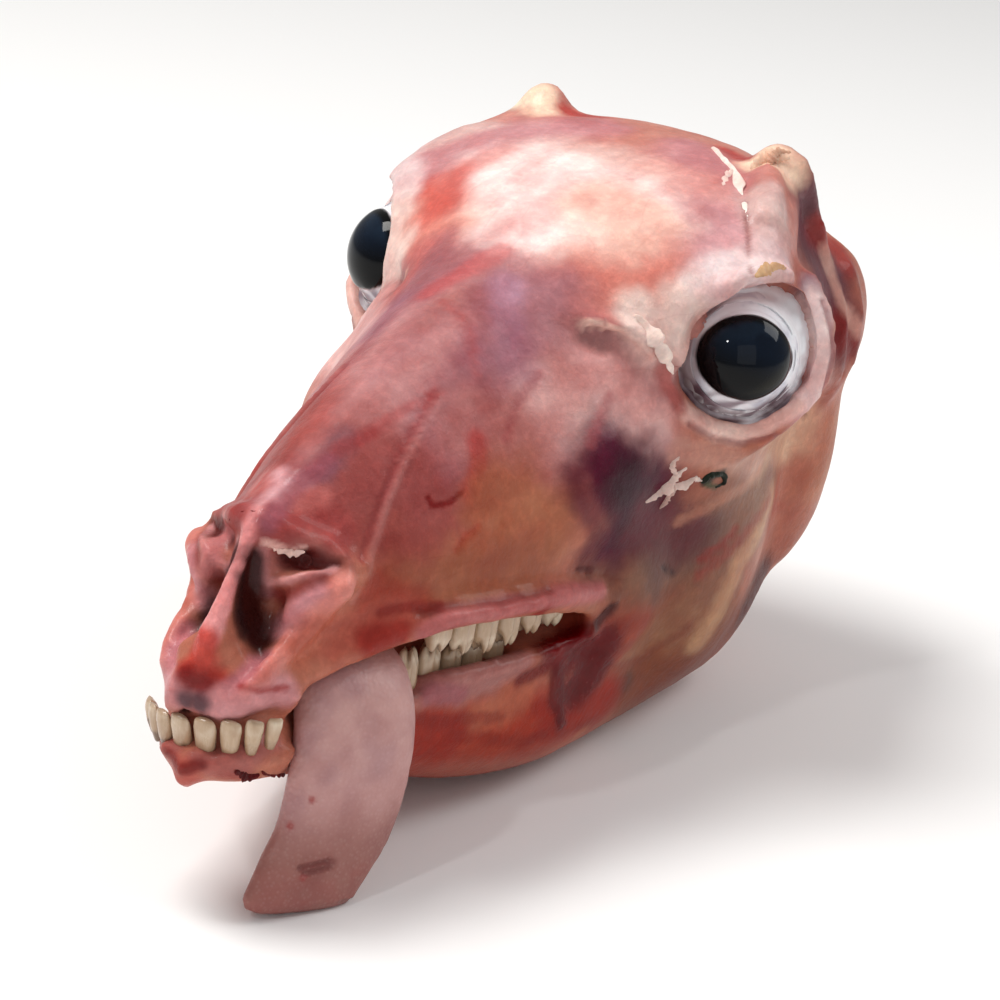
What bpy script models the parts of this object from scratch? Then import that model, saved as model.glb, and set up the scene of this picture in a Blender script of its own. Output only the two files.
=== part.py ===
"""Raw goat head, skinned, with its eyes, teeth and the tongue that hangs from its mouth.

Metres, +Z up. The muzzle points to -Y and the goat's left is +X. The forms are set out in
millimetres in the head's own frame, where Z = 0 is the underside of the lower jaw. MM turns
them into metres, and an empty then tips the head onto its jaw and the tip of its tongue.
"""

import math

import bmesh
import bpy
import numpy as np
from mathutils import Matrix, Vector

MM = 0.001

# Fineness, in millimetres and triangles
MASS_CELL = 2.4
SKIN_CELL = 1.6
HEAD_TRIANGLES = 5400
GAP = 0.4

# Depth of the flats where the jaw and the tongue touch the floor
FOOT_FLAT = 0.6

# The skull with the upper jaw, one row a station: y, top, bottom, half width, height of the
# widest place as a share, and how square the section is above and below that place
FACE = (
    (60, 108, 64, 30, 0.45, 2.4, 2.2),
    (48, 120, 52, 41, 0.45, 2.4, 2.2),
    (34, 130, 42, 44, 0.45, 2.3, 2.4),
    (16, 139.5, 36, 45, 0.50, 2.6, 2.6),
    (-6, 143.5, 32, 45, 0.54, 3.6, 2.6),
    (-30, 142, 34, 48, 0.56, 4.6, 2.6),
    (-55, 137.5, 38, 47, 0.52, 3.4, 2.6),
    (-75, 130.5, 42, 42, 0.38, 2.3, 2.8),
    (-95, 123.5, 46, 38, 0.26, 1.8, 3.0),
    (-116, 116, 49, 34, 0.20, 1.65, 3.2),
    (-140, 106, 51, 29.5, 0.18, 1.6, 3.0),
    (-160, 96, 50, 22.5, 0.20, 1.65, 2.6),
    (-174, 89, 47, 15.5, 0.24, 1.6, 2.4),
    (-181, 83, 45, 12.5, 0.26, 1.7, 2.2),
    (-187, 71, 43, 11.5, 0.32, 1.9, 2.2),
    (-193, 57, 41, 12, 0.42, 2.1, 2.2),
    (-197.5, 50, 40.5, 9.5, 0.45, 2.2, 2.2),
    (-199.5, 46.5, 42, 5, 0.50, 2.0, 2.0),
)
# The lower jaw with its meat, in the same form
JAW = (
    (28, 58, 26, 28, 0.60, 2.4, 2.2),
    (19, 62, 6, 39, 0.60, 2.6, 2.4),
    (4, 62, -0.5, 42, 0.60, 2.6, 3.2),
    (-12, 60, -1.2, 42, 0.60, 2.6, 3.4),
    (-35, 54, -2.0, 40, 0.60, 2.6, 3.4),
    (-60, 48, -2.7, 38, 0.64, 2.8, 3.4),
    (-85, 44, -2.2, 36.5, 0.72, 4.0, 3.6),
    (-110, 40, 1.6, 31, 0.76, 3.6, 3.4),
    (-135, 38, 9, 25, 0.74, 3.2, 2.8),
    (-160, 35, 16.5, 18.5, 0.70, 2.8, 2.4),
    (-180, 34, 22, 16, 0.64, 2.4, 2.2),
    (-192, 33.5, 24, 14.5, 0.60, 2.2, 2.0),
    (-198.5, 32, 26, 9, 0.60, 2.0, 2.0),
)
# What fills the mouth between the jaws, behind the teeth
PALATE = (
    (-52, 60, 22, 28, 0.5, 2.4, 2.4),
    (-78, 58, 20, 23, 0.5, 2.4, 2.4),
    (-110, 58, 20, 15.5, 0.5, 2.4, 2.4),
    (-140, 57, 20, 11.5, 0.5, 2.4, 2.4),
    (-170, 54, 24, 8.5, 0.5, 2.4, 2.4),
    (-190, 50, 26, 8, 0.5, 2.2, 2.2),
)
LOFT_STATIONS = 64
LOFT_SIDES = 48

# Eye
EYE_CENTRE = Vector((44.0, -40.6, 103.3))
EYE_GAZE = Vector((0.62, -0.74, 0.24)).normalized()
EYE_RADIUS = 16.8
CORNEA_BULGE = 2.6
ORBIT_CENTRE = Vector((47.8, -48.0, 104.9))
ORBIT_AXIS = Vector((0.74, -0.61, 0.22)).normalized()
ORBIT_RADIUS = 21.8
OPENING_CENTRE = ORBIT_CENTRE + ORBIT_AXIS * 9
OPENING_SIZE = (18.6, 18.6, 13)

# Nostril, its slot and the fold of gristle beside it
NOSTRIL_CENTRE = Vector((6.4, -187.5, 67.0))
NOSTRIL_SIZE = (4.6, 13.0, 14.0)
NOSTRIL_LEAN = Vector((0.20, -0.26, -1.0))

# Incisors stand in an arc on the front of the lower jaw
INCISOR_ARC_CENTRE = Vector((0.0, -176.0, 0.0))
INCISOR_ARC_RADIUS = 21.5
INCISORS = (  # turn round the arc, width and height, from the middle tooth out
    (8.2, 5.4, 10.8),
    (23.5, 4.9, 9.8),
    (37.0, 4.2, 8.8),
    (49.0, 3.6, 7.8),
)
INCISOR_ROOT_Z = 30.3
INCISOR_TILT = 0.20  # rise of the arc to the left, for each millimetre
INCISOR_SMILE = 0.012  # rise of the arc to both sides, for each millimetre squared
INCISOR_THICKNESS = 3.4
INCISOR_SIDES = 10
INCISOR_LEVELS = ((0, 0.62, 0.9), (0.35, 0.86, 1.0), (0.75, 1.0, 0.8), (1.0, 0.88, 0.35))

# Cheek teeth, a row a side in each jaw, from the front tooth to the back one
UPPER_ROW = (Vector((25.0, -137.0, 58.0)), Vector((31.0, -92.5, 53.0)))
LOWER_ROW = (Vector((19.4, -139.5, 33.0)), Vector((24.6, -107.5, 32.0)))
UPPER_TEETH = 6
LOWER_TEETH = 5
UPPER_THICKNESS = 6.2
LOWER_THICKNESS = 5.0
UPPER_HEIGHT = 12.8
LOWER_HEIGHT = 12.0
CUSP_HEIGHT = 0.11  # share of the tooth's height
CHEEK_TOOTH_SIDES = 10
CHEEK_TOOTH_LEVELS = ((0, 0.9), (0.35, 1.0), (0.78, 0.94), (1.0, 0.55))

# Tongue: middle line, width and thickness at each point, from the mouth to the floor
TONGUE = (
    ((5.0, -142.0, 44.5), 14, 9),
    ((9.5, -150.0, 45.5), 20, 10),
    ((15.5, -158.5, 45.0), 27, 11),
    ((20.0, -163.0, 40.0), 30, 11.5),
    ((22.0, -164.5, 32.0), 31, 11.5),
    ((22.3, -165.5, 22.0), 31, 11),
    ((22.0, -168.0, 11.5), 30.5, 10.5),
    ((21.3, -172.5, 4.5), 30, 9.5),
    ((20.4, -177.5, -3.0), 28.5, 8),
)
TONGUE_TIP = ((1.7, 0.93, 0.8), (1.2, 0.72, 0.45))  # step, and share of width and thickness
TONGUE_SECTIONS = 20
TONGUE_SIDES = 14
TONGUE_FOLD = 5  # the stretch after this point hangs, and its sections stay level
TONGUE_ACROSS = Vector((0.46, 0.888, 0.0)).normalized()

# The flat cut through the neck and the opening for the spinal cord in it
NECK_CUT = Vector((0.0, 47.0, 90.0))
NECK_CUT_NORMAL = Vector((0.0, 1.0, -0.10)).normalized()
NECK_BLOCK = (200, 200, 80)
SPINE_HOLE = (8, 11, 7)


# Curves and places


def on_side(point, side):
    """The point as given for the left side, or mirrored for the right one."""
    return Vector((point[0] * side, point[1], point[2]))


def smooth_between(knots, values, at):
    """Cubic Hermite curve through the knots, its slope at each knot the mean of both sides."""
    knots = np.asarray(knots, float)
    values = np.asarray(values, float)
    slopes = np.gradient(values, knots)
    i = np.clip(np.searchsorted(knots, at, side="right") - 1, 0, len(knots) - 2)
    step = knots[i + 1] - knots[i]
    t = (at - knots[i]) / step
    from_left = values[i] * (1 + 2 * t) * (1 - t) ** 2 + step * slopes[i] * t * (1 - t) ** 2
    from_right = values[i + 1] * t * t * (3 - 2 * t) - step * slopes[i + 1] * t * t * (1 - t)
    return from_left + from_right


def turned_along(direction, across=(0, 1, 0.01)):
    """Rotation whose Z runs along direction and whose X is square to it and to across."""
    z = Vector(direction).normalized()
    x = Vector(across).cross(z).normalized()
    return Matrix((x, z.cross(x), z)).transposed().to_4x4()


# Forms


def mesh_object(name, bm, collection):
    bmesh.ops.recalc_face_normals(bm, faces=bm.faces)
    mesh = bpy.data.meshes.new(name)
    bm.to_mesh(mesh)
    bm.free()
    made = bpy.data.objects.new(name, mesh)
    collection.objects.link(made)
    return made


def skin_over(rings, closed_loop=False):
    """A bmesh over rings of points, joined in order, with its ends filled unless it is a loop."""
    bm = bmesh.new()
    count = len(rings[0])
    verts = [[bm.verts.new(Vector(p) * MM) for p in ring] for ring in rings]
    pairs = list(zip(verts, verts[1:]))
    if closed_loop:
        pairs.append((verts[-1], verts[0]))
    for near, far in pairs:
        for j in range(count):
            k = (j + 1) % count
            bm.faces.new((near[j], near[k], far[k], far[j]))
    if not closed_loop:
        ends = [bm.faces.new(verts[0]), bm.faces.new(verts[-1])]
        bmesh.ops.poke(bm, faces=ends)
    return bm


def loft(name, rows, collection):
    """Sections across Y, each an ellipse squared by its own powers, smoothed between rows."""
    rows = np.array(sorted(rows), float)
    at = np.linspace(rows[0, 0], rows[-1, 0], LOFT_STATIONS)
    columns = [smooth_between(rows[:, 0], rows[:, k], at) for k in range(1, 7)]
    turn = np.linspace(0, 2 * math.pi, LOFT_SIDES, endpoint=False)
    c, s = np.cos(turn), np.sin(turn)
    rings = []
    for y, top, bottom, half, share, high, low in zip(at, *columns):
        wide = bottom + share * (top - bottom)
        power = np.where(s > 0, high, low)
        reach = np.where(s > 0, top - wide, wide - bottom)
        x = half * np.sign(c) * np.abs(c) ** (2 / power)
        z = wide + reach * np.sign(s) * np.abs(s) ** (2 / power)
        rings.append([(a, y, b) for a, b in zip(x, z)])
    return mesh_object(name, skin_over(rings), collection)


def ellipsoid(name, centre, radii, collection, along=(0, 0, 1), segments=32):
    """A ball squeezed to the radii, its third radius laid along the direction."""
    bm = bmesh.new()
    place = Matrix.Translation(Vector(centre) * MM) @ turned_along(along)
    place @= Matrix.Diagonal((*(Vector(radii) * MM), 1))
    rings = segments // 2
    bmesh.ops.create_uvsphere(bm, u_segments=segments, v_segments=rings, radius=1, matrix=place)
    return mesh_object(name, bm, collection)


def bar(name, stops, collection, sides=14, steps=5):
    """A round bar through the stops, each a point and a radius, with rounded ends."""
    knots = np.arange(len(stops))
    at = np.linspace(0, len(stops) - 1, steps * (len(stops) - 1) + 1)
    path = [smooth_between(knots, [p[k] for p, _ in stops], at) for k in range(3)]
    path = [Vector(p) for p in np.stack(path, 1)]
    radii = smooth_between(knots, [r for _, r in stops], at)
    ends = ((path[0] - path[1]).normalized(), (path[-1] - path[-2]).normalized())
    path = [path[0] + ends[0] * radii[0] * 0.7] + path + [path[-1] + ends[1] * radii[-1] * 0.7]
    radii = [radii[0] * 0.6, *radii, radii[-1] * 0.6]
    rings = []
    for i, (middle, radius) in enumerate(zip(path, radii)):
        way = path[min(i + 1, len(path) - 1)] - path[max(i - 1, 0)]
        turn = turned_along(way, (0.1, 0.2, 1))
        angles = np.linspace(0, 2 * math.pi, sides, endpoint=False)
        rings.append([middle + turn @ Vector((math.cos(a), math.sin(a), 0)) * radius for a in angles])
    return mesh_object(name, skin_over(rings), collection)


def orbit_rim(name, side, collection):
    """Ring of bone and skin round the eye, thicker over the brow, where its edge overhangs."""
    turn = turned_along(ORBIT_AXIS, (0, 0, 1))
    rings = []
    for a in np.linspace(0, 2 * math.pi, 40, endpoint=False):
        out = turn @ Vector((math.cos(a), math.sin(a), 0))
        brow = max(0.0, out.z * 0.8 - out.y * 0.45)
        rear = max(0.0, out.y)
        thick = 3.8 + 1.6 * brow
        middle = ORBIT_CENTRE + out * (ORBIT_RADIUS + 0.4 * brow - 2.6 * rear)
        middle += ORBIT_AXIS * (2.0 * brow - 2.4 * rear)
        ring = []
        for b in np.linspace(0, 2 * math.pi, 12, endpoint=False):
            ring.append(on_side(middle + (out * math.cos(b) + ORBIT_AXIS * math.sin(b)) * thick, side))
        rings.append(ring)
    return mesh_object(name, skin_over(rings, closed_loop=True), collection)


def cheek_tooth(name, row, jaw, order, count, side, collection, grow=0.0):
    """A two-lobed tooth, its crown split into cusps, that points down or up from its jaw."""
    first, last = row
    pitch = (last - first).length / (count - 1)
    middle = first.lerp(last, order / (count - 1))
    along = (last - first).normalized()
    up = Vector((0, 0, -1 if jaw == "upper" else 1))
    out = up.cross(along).normalized()
    long_half = (pitch - 1.0) / 2
    if jaw == "upper":
        thick_half = UPPER_THICKNESS / 2
        tall = UPPER_HEIGHT - 1.2 * abs(order - 2)
    else:
        thick_half = LOWER_THICKNESS / 2
        tall = LOWER_HEIGHT - 0.4 * order
    tall += 0.5 * (order % 2)
    rings = []
    for level, swell in CHEEK_TOOTH_LEVELS:
        ring = []
        rise = tall * level + (grow if level else -grow)
        for a in np.linspace(0, 2 * math.pi, CHEEK_TOOTH_SIDES, endpoint=False):
            c, s = math.cos(a), math.sin(a)
            lobe = 1.0 - 0.18 * math.exp(-((c / 0.25) ** 2))
            cusp = CUSP_HEIGHT * tall * level * math.cos(6.0 * c + order) if level > 0.7 else 0.0
            spot = along * (c * (long_half * swell + grow)) + out * (s * (thick_half * lobe * swell + grow))
            ring.append(on_side(middle + spot + up * (rise + cusp), side))
        rings.append(ring)
    return mesh_object(name, skin_over(rings), collection)


def incisor(name, order, side, collection, grow=0.0):
    """A spade-shaped tooth that leans out of the arc, narrow at the gum and wide at its edge."""
    turn, width, tall = INCISORS[order]
    angle = math.radians(turn)
    out = Vector((math.sin(angle), -math.cos(angle), 0))
    across = Vector((math.cos(angle), math.sin(angle), 0))
    up = (Vector((0, 0, 1)) + out * 0.35).normalized()
    front = across.cross(up)
    root = INCISOR_ARC_CENTRE + out * (INCISOR_ARC_RADIUS - 2.5)
    root.z = INCISOR_ROOT_Z + INCISOR_TILT * root.x * side + INCISOR_SMILE * root.x ** 2
    rings = []
    for level, wide, deep in INCISOR_LEVELS:
        half_wide = width / 2 * wide + grow
        half_deep = INCISOR_THICKNESS / 2 * deep + grow
        rise = tall * level + (grow if level else -grow)
        ring = []
        for a in np.linspace(0, 2 * math.pi, INCISOR_SIDES, endpoint=False):
            spot = across * (math.cos(a) * half_wide) + front * (math.sin(a) * half_deep)
            ring.append(on_side(root + spot + up * rise, side))
        rings.append(ring)
    return mesh_object(name, skin_over(rings), collection)


def tongue(name, collection, grow=0.0):
    """A flat bar that bends down out of the mouth, grooved along its upper face."""
    knots = np.arange(len(TONGUE))
    at = np.linspace(0, len(TONGUE) - 1, TONGUE_SECTIONS)
    path = [smooth_between(knots, [row[0][k] for row in TONGUE], at) for k in range(3)]
    path = [Vector(p) for p in np.stack(path, 1)]
    wide = smooth_between(knots, [row[1] for row in TONGUE], at)
    thick = smooth_between(knots, [row[2] for row in TONGUE], at)
    tip_way = (path[-1] - path[-2]).normalized()
    for step, wide_share, thick_share in TONGUE_TIP:
        path.append(path[-1] + (tip_way + Vector((0, 0, -1))).normalized() * step)
        wide = np.append(wide, TONGUE[-1][1] * wide_share)
        thick = np.append(thick, TONGUE[-1][2] * thick_share)
    path[0] -= (path[1] - path[0]).normalized() * grow
    path[-1] += (path[-1] - path[-2]).normalized() * grow
    rings = []
    for i, middle in enumerate(path):
        way = (path[min(i + 1, len(path) - 1)] - path[max(i - 1, 0)]).normalized()
        hanging = min(1.0, max(0.0, at[min(i, len(at) - 1)] - TONGUE_FOLD))
        way = way.lerp(Vector((0, 0, -1)), 0.75 * hanging).normalized()
        across = (TONGUE_ACROSS - way * TONGUE_ACROSS.dot(way)).normalized()
        face = across.cross(way)
        ring = []
        for a in np.linspace(0, 2 * math.pi, TONGUE_SIDES, endpoint=False):
            c, s = math.cos(a), math.sin(a)
            flat = math.copysign(abs(c) ** 0.8, c) * (wide[i] / 2 + grow)
            deep = math.copysign(abs(s) ** 0.9, s) * (thick[i] / 2 + grow)
            ring.append(middle + across * flat + face * deep)
        rings.append(ring)
    return mesh_object(name, skin_over(rings), collection)


def eyeball(name, side, collection, grow=0.0):
    """A ball with the cornea swelling out of its front."""
    made = ellipsoid(name, (0, 0, 0), (EYE_RADIUS + grow,) * 3, collection, segments=20)
    gaze = on_side(EYE_GAZE, side)
    for vert in made.data.vertices:
        facing = vert.co.normalized().dot(gaze)
        swell = max(0.0, (facing - 0.74) / 0.26)
        vert.co = vert.co * (1 + CORNEA_BULGE / EYE_RADIUS * swell ** 0.7)
        vert.co += on_side(EYE_CENTRE, side) * MM
    return made


# The head


def big_masses(group):
    loft("face", FACE, group)
    loft("jaw", JAW, group)
    loft("palate", PALATE, group)
    for side in (1, -1):
        ellipsoid(f"masseter_{side}", on_side((35, -26, 54), side), (15.5, 36, 44), group)
        ellipsoid(f"cheek_web_{side}", on_side((36, -66, 48), side), (9, 17, 22), group)
        ellipsoid(f"parotid_{side}", on_side((36, 22, 63), side), (13, 20, 36), group)
        ellipsoid(f"cheek_{side}", on_side((33, -76, 76), side), (11, 32, 20), group)
        ellipsoid(f"temple_{side}", on_side((40, -12, 106), side), (13, 26, 18), group)
        ellipsoid(f"orbit_back_{side}", on_side((51, -25, 102), side), (9.5, 13, 20.5), group)
        ellipsoid(f"ear_base_{side}", on_side((39, 21, 97), side), (13, 20, 24), group)
        ellipsoid(f"brow_{side}", on_side((38, -40, 117), side), (17, 25, 15), group)
        ellipsoid(f"malar_{side}", on_side((38, -41, 77), side), (14.5, 28, 22), group)
        arch = [((41, -64, 88), 8), ((44, -44, 85), 9), ((45, -14, 87), 10), ((43, 12, 93), 10)]
        bar(f"arch_{side}", [(on_side(p, side), r) for p, r in arch], group)
        crest = [((46, -47, 121), 10), ((42, -30, 127.5), 9.5), ((34, -10, 134), 9)]
        bar(f"crest_{side}", [(on_side(p, side), r) for p, r in crest], group)


def lips_and_rims(group):
    upper = (
        ((0, -196.5, 44.0), 3.4),
        ((7, -194.5, 44.5), 3.6),
        ((11.5, -187.0, 47.0), 3.8),
        ((14.5, -178.0, 49.5), 3.8),
        ((19.0, -165.0, 53.0), 3.8),
        ((25.5, -149.0, 56.0), 3.6),
        ((30.0, -131.0, 56.0), 3.4),
        ((34.5, -110.0, 53.5), 3.4),
        ((38.0, -95.0, 50.5), 3.0),
        ((39.0, -84.0, 46.5), 3.0),
    )
    lower = (
        ((39.0, -82.0, 42.5), 2.8),
        ((35.5, -90.0, 37.4), 2.8),
        ((31.5, -101.0, 36.5), 3.0),
        ((27.0, -119.0, 35.0), 3.2),
        ((22.0, -139.0, 34.5), 3.4),
        ((17.0, -158.0, 32.5), 3.2),
        ((15.0, -176.0, 31.5), 3.0),
        ((12.0, -188.0, 31.0), 2.8),
        ((6.5, -195.0, 30.0), 2.8),
        ((0, -197.0, 29.5), 2.8),
    )
    for side in (1, -1):
        bar(f"upper_lip_{side}", [(on_side(p, side), r) for p, r in upper], group)
        bar(f"lower_lip_{side}", [(on_side(p, side), r) for p, r in lower], group)
        orbit_rim(f"rim_{side}", side, group)
        horn = [((32, -7, 134), 9.5), ((33, -6, 140), 8.0), ((33.5, -5.5, 143.5), 6.8)]
        bar(f"horn_{side}", [(on_side(p, side), r) for p, r in horn], group)
    fold = [((18.5, -166, 71), 3.6), ((15.5, -175, 70.5), 3.4), ((12.5, -182, 67), 2.6)]
    bar("nose_fold_left", fold, group)
    bar("nose_fold_right", [((-p[0] * 0.7, p[1], p[2]), r) for p, r in fold], group)
    ridge = [((0, -177, 85), 2.8), ((0, -184, 76), 2.4), ((0, -189.5, 65), 2.4), ((0, -194, 54), 3.2)]
    bar("septum", ridge, group)
    bar("chin", [((-2, -191, 26), 3.0), ((-2.5, -195, 23.0), 2.0)], group)


def neck_block(group):
    """The block whose front face cuts the neck."""
    bm = bmesh.new()
    middle = NECK_CUT + NECK_CUT_NORMAL * (NECK_BLOCK[2] / 2)
    place = Matrix.Translation(middle * MM) @ turned_along(NECK_CUT_NORMAL, (1, 0, 0))
    place @= Matrix.Diagonal((*(Vector(NECK_BLOCK) * MM), 1))
    bmesh.ops.create_cube(bm, size=1, matrix=place)
    mesh_object("neck_block", bm, group)


def hollows(group):
    """What is taken out of the head: eye sockets, nostrils and the hollow of the neck."""
    for side in (1, -1):
        eyeball(f"socket_{side}", side, group, grow=GAP)
        ellipsoid(
            f"opening_{side}",
            on_side(OPENING_CENTRE, side),
            OPENING_SIZE,
            group,
            along=on_side(ORBIT_AXIS, side),
        )
        ellipsoid(
            f"nostril_{side}",
            on_side(NOSTRIL_CENTRE, side),
            NOSTRIL_SIZE,
            group,
            along=on_side(NOSTRIL_LEAN, side),
            segments=20,
        )
    ellipsoid("spine_hole", NECK_CUT, SPINE_HOLE, group, segments=20)


def fuse(name, pieces, cell, smoothing, collection):
    """One closed skin over all pieces, softened."""
    bm = bmesh.new()
    for piece in pieces:
        bm.from_mesh(piece.data)
        bpy.data.objects.remove(piece)
    mesh = bpy.data.meshes.new(name)
    bm.to_mesh(mesh)
    bm.free()
    made = bpy.data.objects.new(name, mesh)
    collection.objects.link(made)
    remesh = made.modifiers.new("Fuse", "REMESH")
    remesh.mode = "VOXEL"
    remesh.voxel_size = cell * MM
    soften = made.modifiers.new("Soften", "SMOOTH")
    soften.factor = 0.5
    soften.iterations = smoothing
    return apply_modifiers(made)


def apply_modifiers(made):
    graph = bpy.context.evaluated_depsgraph_get()
    mesh = bpy.data.meshes.new_from_object(made.evaluated_get(graph))
    made.modifiers.clear()
    made.data = mesh
    return made


def cut_by(made, cutters, name):
    cut = made.modifiers.new(name, "BOOLEAN")
    cut.operation = "DIFFERENCE"
    cut.operand_type = "COLLECTION"
    cut.collection = cutters
    cut.solver = "EXACT"
    cut.use_self = True


def thin_out(made, triangles):
    thin = made.modifiers.new("Thin", "DECIMATE")
    made.data.calc_loop_triangles()
    thin.ratio = triangles / len(made.data.loop_triangles)
    thin.use_collapse_triangulate = True


def depth_below(made, lift):
    """How deep each vertex lies along the floor's normal, with the muzzle lifted by the angle."""
    spots = np.empty(len(made.data.vertices) * 3, np.float32)
    made.data.vertices.foreach_get("co", spots)
    return spots.reshape(-1, 3) @ np.array((0, math.sin(lift), -math.cos(lift)))


def resting_lift(head, tip):
    """The angle at which the jaw and the tip of the tongue reach the floor together."""
    low, high = 0.0, math.radians(12)
    for _ in range(30):
        lift = (low + high) / 2
        if depth_below(head, lift).max() < depth_below(tip, lift).max():
            low = lift
        else:
            high = lift
    return lift


def flatten_feet(made, lift, floor):
    """Grinds what reaches below the floor to a small flat spot on it."""
    down = Vector((0, math.sin(lift), -math.cos(lift)))
    for vert, depth in zip(made.data.vertices, depth_below(made, lift)):
        if depth > floor:
            vert.co -= down * (depth - floor)


def lay_down(pieces, lift):
    """Parents the pieces to an empty that tips them and sets them on the floor, centred."""
    rest = bpy.data.objects.new("muzzle_lift", None)
    bpy.context.scene.collection.objects.link(rest)
    tip = Matrix.Rotation(-lift, 4, "X")
    corners = [tip @ vert.co for piece in pieces for vert in piece.data.vertices]
    low, high = ([pick(c[k] for c in corners) for k in range(3)] for pick in (min, max))
    rest.rotation_euler = (-lift, 0, 0)
    rest.location = (-(low[0] + high[0]) / 2, -(low[1] + high[1]) / 2, -low[2])
    for piece in pieces:
        piece.parent = rest


def paint(made, name, colour, roughness):
    material = bpy.data.materials.get(name) or bpy.data.materials.new(name)
    material.use_nodes = True
    shader = material.node_tree.nodes["Principled BSDF"]
    shader.inputs["Base Color"].default_value = (*colour, 1)
    shader.inputs["Roughness"].default_value = roughness
    shader.inputs["Metallic"].default_value = 0
    made.data.materials.clear()
    made.data.materials.append(material)
    made.data.shade_smooth()
    made.data.set_sharp_from_angle(angle=math.radians(50))


def each_tooth():
    """Name, making function and its arguments, for every tooth."""
    for side, word in ((1, "left"), (-1, "right")):
        for order in range(len(INCISORS)):
            yield f"incisor_{word}_{order + 1}", incisor, (order, side)
        for order in range(UPPER_TEETH):
            made = (UPPER_ROW, "upper", order, UPPER_TEETH, side)
            yield f"upper_tooth_{word}_{order + 1}", cheek_tooth, made
        for order in range(LOWER_TEETH):
            made = (LOWER_ROW, "lower", order, LOWER_TEETH, side)
            yield f"lower_tooth_{word}_{order + 1}", cheek_tooth, made


def main():
    for old in list(bpy.data.objects):
        bpy.data.objects.remove(old)
    goat = bpy.data.collections.new("goat_head")
    work = bpy.data.collections.new("work")
    cutters = bpy.data.collections.new("cutters")
    for group in (goat, work, cutters):
        bpy.context.scene.collection.children.link(group)

    big_masses(work)
    core = fuse("core", list(work.objects), MASS_CELL, 12, work)
    lips_and_rims(work)
    head = fuse("head", [*work.objects], SKIN_CELL, 6, goat)
    neck_block(cutters)
    hollows(cutters)
    thin_out(head, HEAD_TRIANGLES)
    apply_modifiers(head)

    for name, make, how in each_tooth():
        paint(make(name, *how, goat), "tooth", (0.62, 0.55, 0.40), 0.35)
        make(name + "_socket", *how, cutters, grow=GAP)
    paint(tongue("tongue", goat), "tongue", (0.48, 0.23, 0.21), 0.4)
    tongue("tongue_socket", cutters, grow=GAP)
    for side, word in ((1, "left"), (-1, "right")):
        paint(eyeball(f"eye_{word}", side, goat), "eye", (0.55, 0.53, 0.56), 0.1)
    cut_by(head, cutters, "Hollows")
    apply_modifiers(head)
    paint(head, "flesh", (0.62, 0.24, 0.19), 0.4)
    for cutter in list(cutters.objects):
        bpy.data.objects.remove(cutter)

    hanging = goat.objects["tongue"]
    lift = resting_lift(head, hanging)
    floor = depth_below(head, lift).max() - FOOT_FLAT * MM
    flatten_feet(head, lift, floor)
    flatten_feet(hanging, lift, floor)
    lay_down(list(goat.objects), lift)


main()
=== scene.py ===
# Raw goat head, skinned and wet, its tongue out of the left side of the mouth
import math

import bmesh
import bpy
import numpy as np
from mathutils import Matrix, Vector
from mathutils.bvhtree import BVHTree


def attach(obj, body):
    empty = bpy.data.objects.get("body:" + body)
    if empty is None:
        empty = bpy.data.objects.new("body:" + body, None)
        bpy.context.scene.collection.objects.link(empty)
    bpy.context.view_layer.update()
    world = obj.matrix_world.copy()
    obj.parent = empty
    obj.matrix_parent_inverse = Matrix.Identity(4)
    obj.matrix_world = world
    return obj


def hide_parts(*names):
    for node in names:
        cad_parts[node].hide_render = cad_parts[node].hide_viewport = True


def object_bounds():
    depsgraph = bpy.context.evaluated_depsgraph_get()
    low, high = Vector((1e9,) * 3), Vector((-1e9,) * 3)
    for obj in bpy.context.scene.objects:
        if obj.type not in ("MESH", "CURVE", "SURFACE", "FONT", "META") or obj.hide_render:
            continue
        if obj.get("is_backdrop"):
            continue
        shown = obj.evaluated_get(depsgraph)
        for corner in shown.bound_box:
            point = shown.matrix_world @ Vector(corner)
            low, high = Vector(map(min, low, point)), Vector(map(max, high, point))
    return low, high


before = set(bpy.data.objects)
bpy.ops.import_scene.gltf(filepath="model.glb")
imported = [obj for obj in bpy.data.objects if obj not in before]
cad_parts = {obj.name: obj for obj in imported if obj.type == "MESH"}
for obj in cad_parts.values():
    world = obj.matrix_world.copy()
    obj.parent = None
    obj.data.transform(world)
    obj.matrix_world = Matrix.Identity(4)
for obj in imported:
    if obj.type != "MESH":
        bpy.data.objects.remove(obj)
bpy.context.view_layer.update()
print("frame loaded")

# All shapes below are in the head's own frame: millimetres, muzzle to -Y, goat's left to +X,
# Z = 0 under the jaw. headPose tips that frame onto the floor.
headPose = {"muzzleLift": 1.84765, "shift": (-0.000029, 0.072194, 0.000439)}
headTurn = np.array(Matrix.Rotation(math.radians(-headPose["muzzleLift"]), 3, "X"))
headShift = np.array(headPose["shift"])

camera = {
    "place": (371.2, -812.4, 353.0),
    "right": (0.8646, 0.4835, 0.1367),
    "down": (0.2766, -0.2308, -0.9329),
    "view": (-0.4195, 0.8444, -0.3333),
    "lens": 129.4,
    "sensor": 36.0,
}
eyeShape = {
    "centre": (44.0, -40.6, 103.3),
    "gaze": (0.62, -0.74, 0.24),
    "radius": 16.8,
    "bulge": 2.6,
    "lidGap": 2.4,  # mm from the ball to the lids
}


def toWorld(points):  # turn the head frame by the lift, scale to metres, shift
    return np.asarray(points, float) @ headTurn.T * 0.001 + headShift


def toHead(points):  # toWorld undone, in mm
    return (np.asarray(points, float) - headShift) @ headTurn * 1000


def unit(vectors):  # v / |v|
    vectors = np.asarray(vectors, float)
    return vectors / np.maximum(np.linalg.norm(vectors, axis=-1, keepdims=True), 1e-12)


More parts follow.
